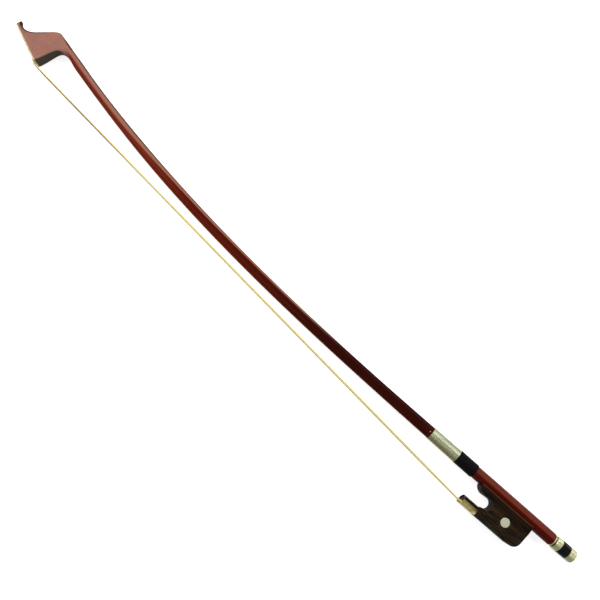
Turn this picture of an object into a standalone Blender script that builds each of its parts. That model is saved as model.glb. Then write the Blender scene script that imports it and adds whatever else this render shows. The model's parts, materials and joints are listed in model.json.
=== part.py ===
"""Double bass bow, French pattern, lying on its side.

Units are metres. In the drawing frame X runs along the adjusting screw from the
head (-X) to the button (+X), Y points from the hair to the stick and Z is the
width. The finished bow hangs from one root empty that puts the bottom centre of
its bounding box on the world origin.
"""
import math

import bmesh
import bpy
from mathutils import Matrix, Vector

# fits
GAP = 0.0003
CUT_OVER = 0.0020

# stick
STICK_END_X = -0.0024
CAMBER_START_X = -0.110
CAMBER_RISE = 0.0211
CAMBER_RUN = 0.400
CAMBER_POWER = 2.9
SHAFT_END_X = -0.616
SHAFT_RIBS_START_X = -0.160
HANDLE_STRAIGHT_X = -0.0550
TURN_START_X = -0.1000
TURN_MIDDLE_X = -0.1120
TURN_END_X = -0.1250
NECK_LENGTH = 0.0006
HANDLE_RADIUS = 0.0060
HANDLE_NECK_RADIUS = 0.0059
WRAP_SEAT_RADIUS = 0.00545
SHAFT_RADII = (
    (-0.1415, 0.00588),
    (-0.200, 0.00562),
    (-0.300, 0.00550),
    (-0.400, 0.00552),
    (-0.470, 0.00547),
    (-0.520, 0.00520),
    (-0.570, 0.00473),
    (-0.600, 0.00472),
    (-0.650, 0.00510),
)
FACETS = 8
FACET_TURN = math.radians(22.5)

# lapping and thumb leather
LAPPING_FRONT_X = -0.1405
LEATHER_FRONT_X = -0.1096
LEATHER_REAR_X = -0.0900
LAPPING_THICKNESS = 0.00047
LEATHER_THICKNESS = 0.0008
LAPPING_RADIUS = WRAP_SEAT_RADIUS + GAP + LAPPING_THICKNESS
LEATHER_RADIUS = WRAP_SEAT_RADIUS + GAP + LEATHER_THICKNESS
WIRE_PIN_X = -0.1424
WIRE_PIN_RADIUS = 0.00055
WIRE_PIN_LENGTH = 0.0022
WIRE_PIN_TOP_Z = SHAFT_RADII[0][1] * math.cos(FACET_TURN) + 0.0003

# head
SHAFT_END_RUN = (CAMBER_START_X - SHAFT_END_X) / CAMBER_RUN
SHAFT_END = Vector((SHAFT_END_X, CAMBER_RISE * SHAFT_END_RUN ** CAMBER_POWER))
HEEL = SHAFT_END + Vector((-0.0315, -0.02442))
FACE_TIP = SHAFT_END + Vector((-0.0736, -0.00828))
HEEL_HALF_WIDTH = 0.0070
TIP_HALF_WIDTH = 0.0027
PLATE_THICKNESS = 0.0012
MORTISE_NEAR = 0.0034
MORTISE_FAR = 0.0110
MORTISE_DEPTH = 0.0065
MORTISE_HALF_MOUTH = 0.0050
MORTISE_HALF_FLOOR = 0.0042
PLUG_DEPTH = 0.0032
KNOT_RADIUS = 0.0014
KNOT_HALF_LENGTH = 0.0038
KNOT_ALONG = 0.0072

# frog
FROG_HALF_WIDTH = 0.0084
FROG_TOP_HALF_WIDTH = 0.0066
FROG_SHOULDER_Y = -0.0118
FROG_BLANK_TOP_Y = -0.0020
FROG_EDGE = 0.0005
FROG_TOP_REAR_X = -0.0231
FROG_SIDE_REAR_X = -0.0241
FROG_CORNER_RADIUS = 0.0078
FROG_REAR_BOTTOM_Y = -0.02945
FROG_FRONT_BOTTOM_Y = -0.0299
SHELF_X = -0.0680
SHELF_Y = -0.02095
THROAT_X = -0.0652
THROAT_Y = -0.0151
THROAT_RADIUS = 0.0050
NOSE_X = -0.0716
NOSE_Y = -0.0024
NOSE_RADIUS = 0.00835
CARRIAGE_X = -0.0460
SLIDE_TRAVEL = 0.0063

# ferrule, hair and slide
FERRULE_FRONT_X = -0.0840
FERRULE_REAR_X = -0.0693
FERRULE_BOTTOM_Y = -0.0299
FERRULE_SPRING_Y = -0.0265
FERRULE_TOP_Y = -0.0212
FERRULE_CORNER = 0.0010
FERRULE_WALL = 0.0007
TONGUE_BOTTOM_Y = -0.0260
TONGUE_FRONT_X = -0.0832
WEDGE_THICKNESS = 0.0013
WEDGE_HALF_WIDTH = FROG_HALF_WIDTH - FERRULE_WALL - 0.0008
HAIR_THICKNESS = 0.0009
HAIR_RUN_THICKNESS = 0.0014
HAIR_HEAD_HALF_WIDTH = 0.0045
HAIR_RUN_HALF_WIDTH = 0.0055
HAIR_FERRULE_HALF_WIDTH = FROG_HALF_WIDTH - FERRULE_WALL - 0.0007
HAIR_TAIL_HALF_WIDTH = 0.0054
HAIR_SAG = 0.00045
HAIR_RUN_START = HEEL + Vector((0.0001, -0.0030))
HAIR_RUN_END = Vector((FERRULE_FRONT_X, FERRULE_BOTTOM_Y + 0.0016))
HAIR_WAY_BOTTOM_Y = -0.0290
HAIR_WAY_TOP_Y = -0.0265
FROG_MORTISE_FRONT_X = -0.0610
FROG_MORTISE_REAR_X = -0.0500
FROG_MORTISE_TOP_Y = -0.0223
FROG_MORTISE_HALF_WIDTH = 0.0058
SLIDE_REAR_X = -0.0325
SLIDE_DEPTH = 0.0016
SLIDE_HALF_WIDTH = 0.0058
SLIDE_UNDERCUT = 0.0005

# eyes
EYE_X = -0.0450
EYE_Y = -0.0169
EYE_RADIUS = 0.00435
EYE_THICKNESS = 0.0012

# underslide and eyelet
LINER_THICKNESS = 0.0005
LINER_FRONT_X = -0.0793
LINER_REAR_X = -0.0237
LINER_PIN_XS = (-0.0755, -0.0285)
LINER_PIN_RADIUS = 0.0008
LINER_PIN_LENGTH = 0.0052
EYELET_HALF_LENGTH = 0.0034
EYELET_HALF_WIDTH = 0.0023
EYELET_TOP_Y = 0.0033
EYELET_SHANK_RADIUS = 0.0022
EYELET_SHANK_BOTTOM_Y = -0.0140

# adjusting screw and button
SCREW_RADIUS = 0.0018
SCREW_TIP_X = -0.0760
SCREW_END_X = 0.0160
BORE_END_X = -0.0780
BUTTON_RADIUS = 0.0063
BUTTON_TURN = math.radians(15.2)
BUTTON_RING_X = -0.0021
BUTTON_GROOVE_X = -0.0008
COLLAR_FACE_X = 0.0001
COLLAR_END_X = 0.0057
BAND_END_X = 0.0143
CAP_SHOULDER_X = 0.0199
CAP_END_X = 0.0216
RING_RADIUS = 0.0057
GROOVE_RADIUS = 0.0052
SPIGOT_RADIUS = 0.0041
SPIGOT_END_X = 0.0178
CAP_FACE_RADIUS = 0.0048
BUTTON_PIN_RADIUS = 0.0005
BUTTON_PIN_LENGTH = 0.0024

# materials: name, base colour, metallic, roughness
MATERIALS = {
    "stick_wood": ((0.16, 0.035, 0.02, 1.0), 0.0, 0.35),
    "ebony": ((0.015, 0.012, 0.010, 1.0), 0.0, 0.4),
    "ebony_slide": ((0.012, 0.010, 0.009, 1.0), 0.0, 0.4),
    "ebony_button": ((0.010, 0.010, 0.010, 1.0), 0.0, 0.3),
    "bone": ((0.80, 0.70, 0.48, 1.0), 0.0, 0.4),
    "maple": ((0.60, 0.42, 0.22, 1.0), 0.0, 0.6),
    "horsehair": ((0.75, 0.66, 0.30, 1.0), 0.0, 0.5),
    "hair_thread": ((0.30, 0.12, 0.06, 1.0), 0.0, 0.7),
    "leather": ((0.012, 0.012, 0.012, 1.0), 0.0, 0.7),
    "silver_wire": ((0.72, 0.71, 0.62, 1.0), 1.0, 0.3),
    "nickel_silver": ((0.75, 0.72, 0.60, 1.0), 1.0, 0.25),
    "brass": ((0.60, 0.43, 0.18, 1.0), 1.0, 0.35),
    "steel": ((0.45, 0.45, 0.46, 1.0), 1.0, 0.35),
    "pearl": ((0.66, 0.68, 0.58, 1.0), 0.0, 0.25),
}

ALONG_X = Matrix(((0, 0, 1, 0), (1, 0, 0, 0), (0, 1, 0, 0), (0, 0, 0, 1)))
FACE_DIR = (FACE_TIP - HEEL).normalized()
FACE_IN = Vector((FACE_DIR.y, -FACE_DIR.x))
SLIDE_TILT = math.atan2(
    FROG_REAR_BOTTOM_Y - FROG_FRONT_BOTTOM_Y,
    FROG_SIDE_REAR_X - FROG_CORNER_RADIUS - FERRULE_REAR_X,
)


def clear_scene():
    """Remove every object of the start-up scene."""
    for obj in list(bpy.data.objects):
        bpy.data.objects.remove(obj, do_unlink=True)


def new_collection(name):
    """Make a collection below the scene's own."""
    collection = bpy.data.collections.new(name)
    bpy.context.scene.collection.children.link(collection)
    return collection


def make_material(name):
    """Make one Principled material from the table."""
    colour, metallic, roughness = MATERIALS[name]
    material = bpy.data.materials.new(name)
    material.use_nodes = True
    shader = material.node_tree.nodes["Principled BSDF"]
    shader.inputs["Base Color"].default_value = colour
    shader.inputs["Metallic"].default_value = metallic
    shader.inputs["Roughness"].default_value = roughness
    material.diffuse_color = colour
    return material


def link(name, mesh, collection, material=None, smooth=False):
    """Wrap a mesh in a named object."""
    obj = bpy.data.objects.new(name, mesh)
    collection.objects.link(obj)
    if material is not None:
        mesh.materials.clear()
        mesh.materials.append(make_material(material))
    for polygon in mesh.polygons:
        polygon.use_smooth = smooth
    return obj


def loft(name, ribs, collection, material=None, smooth=False):
    """Skin a row of closed ribs and close both ends."""
    count = len(ribs[0])
    verts = [point for rib in ribs for point in rib]
    faces = []
    for row in range(len(ribs) - 1):
        for col in range(count):
            nxt = (col + 1) % count
            base = row * count
            faces.append((base + col, base + nxt, base + count + nxt, base + count + col))
    faces.append(tuple(reversed(range(count))))
    last = (len(ribs) - 1) * count
    faces.append(tuple(last + col for col in range(count)))
    mesh = bpy.data.meshes.new(name)
    mesh.from_pydata(verts, [], faces)
    mesh.update()
    solid = bmesh.new()
    solid.from_mesh(mesh)
    bmesh.ops.recalc_face_normals(solid, faces=solid.faces)
    solid.to_mesh(mesh)
    solid.free()
    return link(name, mesh, collection, material, smooth)


def arc(cx, cy, radius_x, radius_y, start, end, steps):
    """Points of an elliptical arc between two angles in degrees."""
    points = []
    for step in range(steps + 1):
        angle = math.radians(start + (end - start) * step / steps)
        points.append((cx + radius_x * math.cos(angle), cy + radius_y * math.sin(angle)))
    return points


def plate(name, outlines, low, high, collection, material=None, matrix=None, smooth=False):
    """Fill one or more closed outlines and give them thickness along the local Z."""
    curve = bpy.data.curves.new(name + "_outline", "CURVE")
    curve.dimensions = "2D"
    curve.fill_mode = "BOTH"
    curve.resolution_u = 1
    curve.extrude = (high - low) / 2.0
    for outline in outlines:
        spline = curve.splines.new("POLY")
        spline.points.add(len(outline) - 1)
        for point, (u, v) in zip(spline.points, outline):
            point.co = (u, v, 0.0, 1.0)
        spline.use_cyclic_u = True
    holder = bpy.data.objects.new(name + "_holder", curve)
    collection.objects.link(holder)
    bpy.context.view_layer.update()
    mesh = bpy.data.meshes.new_from_object(holder)
    bpy.data.objects.remove(holder, do_unlink=True)
    mesh.transform(Matrix.Translation((0.0, 0.0, (low + high) / 2.0)))
    if matrix is not None:
        mesh.transform(matrix)
    mesh.name = name
    obj = link(name, mesh, collection, material, smooth)
    weld = obj.modifiers.new("Weld", "WELD")
    weld.merge_threshold = 0.00001
    return obj


def turned(name, profile, steps, collection, material=None, matrix=None, turn=0.0, smooth=True):
    """Revolve a profile of (radius, height) pairs about the local Z axis."""
    closed = profile[0] == profile[-1]
    corners = profile[:-1] if closed else profile
    verts = [(radius, 0.0, height) for radius, height in corners]
    edges = [(index, index + 1) for index in range(len(verts) - 1)]
    if closed:
        edges.append((len(verts) - 1, 0))
    mesh = bpy.data.meshes.new(name)
    mesh.from_pydata(verts, edges, [])
    obj = link(name, mesh, collection, material, smooth)
    mesh.transform(Matrix.Rotation(turn, 4, "Z"))
    screw = obj.modifiers.new("Screw", "SCREW")
    screw.axis = "Z"
    screw.angle = math.tau
    screw.steps = steps
    screw.render_steps = steps
    screw.use_merge_vertices = True
    screw.merge_threshold = 0.00001
    screw.use_smooth_shade = smooth
    bpy.context.view_layer.update()
    graph = bpy.context.evaluated_depsgraph_get()
    body = bpy.data.meshes.new_from_object(obj.evaluated_get(graph))
    obj.modifiers.clear()
    obj.data = body
    if matrix is not None:
        body.transform(matrix)
    body.name = name
    return obj


def box(name, low, high, collection, material=None):
    """A plain block between two corners."""
    ribs = []
    for x in (low[0], high[0]):
        ribs.append([
            (x, low[1], low[2]),
            (x, high[1], low[2]),
            (x, high[1], high[2]),
            (x, low[1], high[2]),
        ])
    return loft(name, ribs, collection, material)


def cylinder_x(name, x0, x1, radius, steps, collection, material=None, smooth=True):
    """A round bar along X, centred on the screw axis."""
    profile = [(0.0, x1), (radius, x1), (radius, x0), (0.0, x0)]
    return turned(name, profile, steps, collection, material, ALONG_X, 0.0, smooth)


def cut(target, cutter, operation="DIFFERENCE"):
    """Add an exact Boolean that uses a hidden tool body."""
    boolean = target.modifiers.new("Cut " + cutter.name, "BOOLEAN")
    boolean.solver = "EXACT"
    boolean.operation = operation
    boolean.object = cutter
    cutter.hide_render = True
    cutter.display_type = "WIRE"


def camber(x):
    """Height of the stick's centre line above the screw axis."""
    run = max(0.0, CAMBER_START_X - x) / CAMBER_RUN
    return CAMBER_RISE * run ** CAMBER_POWER


def camber_slope(x):
    """Slope of the centre line, as rise per unit of X."""
    step = 0.0005
    return (camber(x + step) - camber(x - step)) / (2.0 * step)


def shaft_radius(x):
    """Corner radius of the octagonal shaft at X."""
    if x >= SHAFT_RADII[0][0]:
        return SHAFT_RADII[0][1]
    for (x0, r0), (x1, r1) in zip(SHAFT_RADII, SHAFT_RADII[1:]):
        if x >= x1:
            return r0 + (r1 - r0) * (x0 - x) / (x0 - x1)
    return SHAFT_RADII[-1][1]


def stick_rib(x, radius, turn):
    """Octagon square to the centre line; turn swings the facets round it."""
    slope = math.atan(camber_slope(x))
    up = Vector((-math.sin(slope), math.cos(slope), 0.0))
    side = Vector((0.0, 0.0, 1.0))
    centre = Vector((x, camber(x), 0.0))
    rib = []
    for index in range(FACETS):
        angle = math.radians(180.0 - 22.5 - 45.0 * index) + turn
        rib.append(centre + up * (radius * math.cos(angle)) + side * (radius * math.sin(angle)))
    return rib


def head_rib(low, top, half):
    """Eight-cornered rib between the hair-side outline and the back of the head.

    half holds (floor, low side, its height, high side, its height, back), the
    heights as fractions of the rib.
    """
    shaft_end = Vector((SHAFT_END.x, SHAFT_END.y, 0.0))
    low = shaft_end + Vector((low[0], low[1], 0.0)) * 0.001
    top = shaft_end + Vector((top[0], top[1], 0.0)) * 0.001
    floor, side_low, at_low, side_high, at_high, back = half
    corners = (
        (0.0, floor),
        (at_low, side_low),
        (at_high, side_high),
        (1.0, back),
        (1.0, -back),
        (at_high, -side_high),
        (at_low, -side_low),
        (0.0, -floor),
    )
    rib = []
    for fraction, width in corners:
        point = low.lerp(top, fraction)
        rib.append(point + Vector((0.0, 0.0, width * 0.001)))
    return rib


def head_ribs():
    """Ribs from the shaft round the throat to the beak.

    The pairs are millimetres from the end of the shaft.
    """
    rows = (
        ((-10.3, -1.22), (-12.6, 7.38), (2.0, 4.15, 0.27, 4.05, 0.71, 1.75)),
        ((-16.5, -0.32), (-20.2, 9.28), (2.9, 4.25, 0.19, 3.85, 0.75, 1.75)),
        ((-20.8, -1.02), (-27, 10.78), (3.8, 4.5, 0.12, 3.5, 0.79, 1.75)),
        ((-23.7, -3.32), (-32.2, 11.98), (4.6, 5.1, 0.07, 3.4, 0.82, 1.80)),
        ((-25.5, -7.02), (-35.3, 12.48), (5.2, 5.6, 0.05, 3.3, 0.85, 1.90)),
        ((-27.2, -12.12), (-37.9, 11.78), (5.7, 6.1, 0.04, 3.1, 0.87, 1.90)),
        ((-29, -18.02), (-41.3, 9.48), (6.2, 6.6, 0.03, 3.0, 0.89, 1.90)),
        ((-31, -23.42), (-45.2, 5.78), (6.7, 7.0, 0.02, 2.9, 0.90, 1.90)),
        ((-31.9, -24.27), (-46.5, 4.58), (6.75, 7.0, 0.015, 2.9, 0.90, 1.90)),
        ((-42, -20.39), (-51.6, -0.27), (5.9, 6.1, 0.015, 2.9, 0.89, 1.95)),
        ((-51, -16.94), (-55.5, -3.82), (4.95, 5.1, 0.02, 2.9, 0.87, 2.00)),
        ((-58, -14.26), (-59.5, -6.32), (4.2, 4.3, 0.03, 2.9, 0.85, 2.00)),
        ((-63.5, -12.15), (-63.2, -7.37), (3.6, 3.7, 0.05, 2.9, 0.82, 2.05)),
        ((-68, -10.42), (-66.8, -7.12), (3.15, 3.3, 0.06, 2.8, 0.82, 2.10)),
        ((-71.4, -9.12), (-69.8, -5.92), (2.85, 3.0, 0.06, 2.7, 0.84, 2.15)),
        ((-73.6, -8.28), (-71.9, -3.72), (2.6, 2.75, 0.05, 2.6, 0.88, 2.20)),
    )
    return [head_rib(low, top, half) for low, top, half in rows]


def on_face(along, depth, z):
    """A point given along the head's face from the heel and into the wood."""
    point = HEEL + FACE_DIR * along + FACE_IN * depth
    return Vector((point.x, point.y, z))


def face_block(name, near, far, low, high, half_low, half_high, collection, material=None):
    """A tapered block square to the head's face."""
    ribs = []
    for depth, half in ((low, half_low), (high, half_high)):
        ribs.append([
            on_face(near, depth, -half),
            on_face(far, depth, -half),
            on_face(far, depth, half),
            on_face(near, depth, half),
        ])
    return loft(name, ribs, collection, material)


def build_stick(parts, tools):
    """The one-piece stick and head with its bores and mortises."""
    ribs = []
    stations = (
        (STICK_END_X, HANDLE_RADIUS, FACET_TURN),
        (HANDLE_STRAIGHT_X, HANDLE_RADIUS, FACET_TURN),
        (LEATHER_REAR_X + NECK_LENGTH, HANDLE_NECK_RADIUS, FACET_TURN),
        (LEATHER_REAR_X - GAP, WRAP_SEAT_RADIUS, FACET_TURN),
        (TURN_START_X, WRAP_SEAT_RADIUS, FACET_TURN),
        (TURN_MIDDLE_X, WRAP_SEAT_RADIUS, FACET_TURN * 0.5),
        (TURN_END_X, WRAP_SEAT_RADIUS, 0.0),
        (LAPPING_FRONT_X + GAP, WRAP_SEAT_RADIUS, 0.0),
        (LAPPING_FRONT_X - NECK_LENGTH, SHAFT_RADII[0][1], 0.0),
    )
    for x, radius, turn in stations:
        ribs.append(stick_rib(x, radius, turn))
    count = 24
    first = SHAFT_RIBS_START_X
    for step in range(count + 1):
        x = first + (SHAFT_END_X - first) * step / count
        ribs.append(stick_rib(x, shaft_radius(x), 0.0))
    ribs.extend(head_ribs())
    stick = loft("stick", ribs, parts, "stick_wood")
    mortise = face_block(
        "cut_head_mortise", MORTISE_NEAR, MORTISE_FAR, -0.001, MORTISE_DEPTH,
        MORTISE_HALF_MOUTH, MORTISE_HALF_FLOOR, tools,
    )
    cut(stick, mortise)
    pin_hole = turned(
        "cut_wire_pin",
        [(0.0, WIRE_PIN_TOP_Z + CUT_OVER), (WIRE_PIN_RADIUS + GAP, WIRE_PIN_TOP_Z + CUT_OVER),
         (WIRE_PIN_RADIUS + GAP, WIRE_PIN_TOP_Z - WIRE_PIN_LENGTH - GAP),
         (0.0, WIRE_PIN_TOP_Z - WIRE_PIN_LENGTH - GAP)],
        16, tools, None, Matrix.Translation((WIRE_PIN_X, camber(WIRE_PIN_X), 0.0)),
    )
    cut(stick, pin_hole)
    bore = cylinder_x("cut_bore", BORE_END_X, STICK_END_X + CUT_OVER, SCREW_RADIUS + GAP, 24,
                      tools)
    cut(stick, bore)
    slot = box(
        "cut_slot",
        (CARRIAGE_X - EYELET_HALF_LENGTH - GAP * 2, -HANDLE_RADIUS - CUT_OVER,
         -EYELET_HALF_WIDTH - GAP),
        (CARRIAGE_X + EYELET_HALF_LENGTH + SLIDE_TRAVEL + GAP * 2, EYELET_TOP_Y + GAP,
         EYELET_HALF_WIDTH + GAP),
        tools,
    )
    cut(stick, slot)
    return stick


def sleeve(name, x0, x1, inner, outer, parts, material):
    """A wrapped sleeve round the stick."""
    lip = 0.00025
    profile = [
        (inner, x1), (outer - lip, x1), (outer, x1 - lip),
        (outer, x0 + lip), (outer - lip, x0), (inner, x0), (inner, x1),
    ]
    middle = camber((x0 + x1) / 2.0)
    matrix = Matrix.Translation((0.0, middle, 0.0)) @ ALONG_X
    return turned(name, profile, 32, parts, material, matrix)


def build_wrappings(parts):
    """Silver lapping, its wire end and the thumb leather."""
    inner = WRAP_SEAT_RADIUS + GAP
    pieces = [
        sleeve("lapping", LAPPING_FRONT_X, LEATHER_FRONT_X - GAP, inner, LAPPING_RADIUS,
               parts, "silver_wire"),
        sleeve("thumb_leather", LEATHER_FRONT_X, LEATHER_REAR_X, inner, LEATHER_RADIUS,
               parts, "leather"),
    ]
    bottom = WIRE_PIN_TOP_Z - WIRE_PIN_LENGTH
    profile = [
        (0.0, WIRE_PIN_TOP_Z), (WIRE_PIN_RADIUS * 0.7, WIRE_PIN_TOP_Z),
        (WIRE_PIN_RADIUS, WIRE_PIN_TOP_Z - 0.0002), (WIRE_PIN_RADIUS, bottom), (0.0, bottom),
    ]
    matrix = Matrix.Translation((WIRE_PIN_X, camber(WIRE_PIN_X), 0.0))
    pieces.append(turned("lapping_wire_pin", profile, 16, parts, "silver_wire", matrix))
    return pieces


def build_head_fittings(parts, tools):
    """Face plate, plug and tied hair end in the head."""
    length = (FACE_TIP - HEEL).length
    low = -GAP - PLATE_THICKNESS
    ribs = []
    for along, half in ((0.0002, HEEL_HALF_WIDTH), (length, TIP_HALF_WIDTH)):
        ribs.append([
            on_face(along, low, -half + 0.0003),
            on_face(along, -GAP, -half),
            on_face(along, -GAP, half),
            on_face(along, low, half - 0.0003),
        ])
    head_plate = loft("head_plate", ribs, parts, "bone")
    window = face_block(
        "cut_plate_window", MORTISE_NEAR, MORTISE_FAR, low - 0.001, 0.001,
        MORTISE_HALF_MOUTH, MORTISE_HALF_MOUTH, tools,
    )
    cut(head_plate, window)
    plug = face_block(
        "head_plug", MORTISE_NEAR + GAP * 2 + HAIR_THICKNESS, MORTISE_FAR - GAP,
        low + 0.0002, PLUG_DEPTH, MORTISE_HALF_MOUTH - 0.0004, MORTISE_HALF_FLOOR + 0.0001,
        parts, "maple",
    )
    knot_at = on_face(KNOT_ALONG, PLUG_DEPTH + GAP + KNOT_RADIUS, 0.0)
    lip = 0.0004
    profile = [
        (0.0, KNOT_HALF_LENGTH), (KNOT_RADIUS - lip, KNOT_HALF_LENGTH),
        (KNOT_RADIUS, KNOT_HALF_LENGTH - lip), (KNOT_RADIUS, -KNOT_HALF_LENGTH + lip),
        (KNOT_RADIUS - lip, -KNOT_HALF_LENGTH), (0.0, -KNOT_HALF_LENGTH),
    ]
    knot = turned("head_hair_knot", profile, 20, parts, "hair_thread", Matrix.Translation(knot_at))
    return [head_plate, plug, knot]


def hair_path():
    """Centre line, half width and thickness of the hair ribbon."""
    in_wood = MORTISE_NEAR + GAP + HAIR_THICKNESS / 2.0
    under = -GAP - PLATE_THICKNESS - GAP - HAIR_THICKNESS / 2.0
    path = [
        (on_face(in_wood, 0.0040, 0.0), HAIR_HEAD_HALF_WIDTH - 0.0004, HAIR_THICKNESS),
        (on_face(in_wood, under * 0.62, 0.0), HAIR_HEAD_HALF_WIDTH, HAIR_THICKNESS),
        (on_face(MORTISE_NEAR - 0.0004, under * 1.02, 0.0), HAIR_HEAD_HALF_WIDTH + 0.0002,
         HAIR_THICKNESS),
    ]
    count = 8
    parts_of_run = [0.0, 0.02] + [step / count for step in range(1, count)] + [0.98, 1.0]
    for part in parts_of_run:
        point = HAIR_RUN_START.lerp(HAIR_RUN_END, part)
        sag = HAIR_SAG * 4.0 * part * (1.0 - part)
        ends = min(1.0, part * count / 1.0)
        half = HAIR_RUN_HALF_WIDTH + (HAIR_FERRULE_HALF_WIDTH - HAIR_RUN_HALF_WIDTH) * part ** 2
        half = HAIR_HEAD_HALF_WIDTH + 0.0003 + (half - HAIR_HEAD_HALF_WIDTH - 0.0003) * ends
        thickness = HAIR_RUN_THICKNESS if 0.0 < part < 1.0 else HAIR_THICKNESS
        path.append((Vector((point.x, point.y - sag, 0.0)), half, thickness))
    inside = FERRULE_BOTTOM_Y + FERRULE_WALL + GAP + HAIR_THICKNESS / 2.0
    tail = (
        (FERRULE_FRONT_X + 0.0040, inside, HAIR_FERRULE_HALF_WIDTH),
        (FERRULE_REAR_X - 0.0042, inside, HAIR_FERRULE_HALF_WIDTH - 0.0006),
        (FERRULE_REAR_X + 0.0008, HAIR_WAY_TOP_Y - 0.0011, HAIR_TAIL_HALF_WIDTH),
        (FROG_MORTISE_FRONT_X - 0.0002, HAIR_WAY_TOP_Y - 0.0008, HAIR_TAIL_HALF_WIDTH),
    )
    for x, y, half in tail:
        path.append((Vector((x, y, 0.0)), half, HAIR_THICKNESS))
    return path


def build_hair(parts):
    """The ribbon of hair as one solid, from the head mortise to the frog mortise."""
    path = hair_path()
    ribs = []
    for index, (point, half, thickness) in enumerate(path):
        before = path[max(0, index - 1)][0]
        after = path[min(len(path) - 1, index + 1)][0]
        tangent = (after - before).normalized()
        normal = Vector((-tangent.y, tangent.x, 0.0)) * (thickness / 2.0)
        side = Vector((0.0, 0.0, half))
        ribs.append([
            point - normal - side, point + normal - side,
            point + normal + side, point - normal + side,
        ])
    return loft("hair_ribbon", ribs, parts, "horsehair")


def facet_y(z, offset):
    """Y of the channel face that lies a given distance outside the handle's lower facets."""
    reach = HANDLE_RADIUS * math.cos(FACET_TURN) + offset
    return -(reach - math.sin(FACET_TURN) * abs(z)) / math.cos(FACET_TURN)


def channel_outline(offset, half, top):
    """Section of the frog's channel as (y, z) pairs."""
    return [
        (top, -half), (facet_y(half, offset), -half), (facet_y(0.0, offset), 0.0),
        (facet_y(half, offset), half), (top, half),
    ]


def ferrule_outline(inset):
    """D-shaped section of the ferrule as (y, z) pairs."""
    half = FROG_HALF_WIDTH - inset
    low = FERRULE_BOTTOM_Y + inset
    corner = max(0.0003, FERRULE_CORNER - inset)
    rise = FERRULE_TOP_Y - inset - FERRULE_SPRING_Y
    points = arc(low + corner, -half + corner, corner, corner, 270, 180, 4)
    points += arc(low + corner, half - corner, corner, corner, 180, 90, 4)
    points += arc(FERRULE_SPRING_Y, 0.0, rise, half, 90, -90, 24)
    return points


def slide_matrix():
    """Lay a section along the frog's gently rising bottom line."""
    pivot = Vector((FERRULE_REAR_X, FROG_FRONT_BOTTOM_Y, 0.0))
    tilt = Matrix.Rotation(SLIDE_TILT, 4, "Z")
    return Matrix.Translation(pivot) @ tilt @ Matrix.Translation(-pivot) @ ALONG_X


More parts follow.
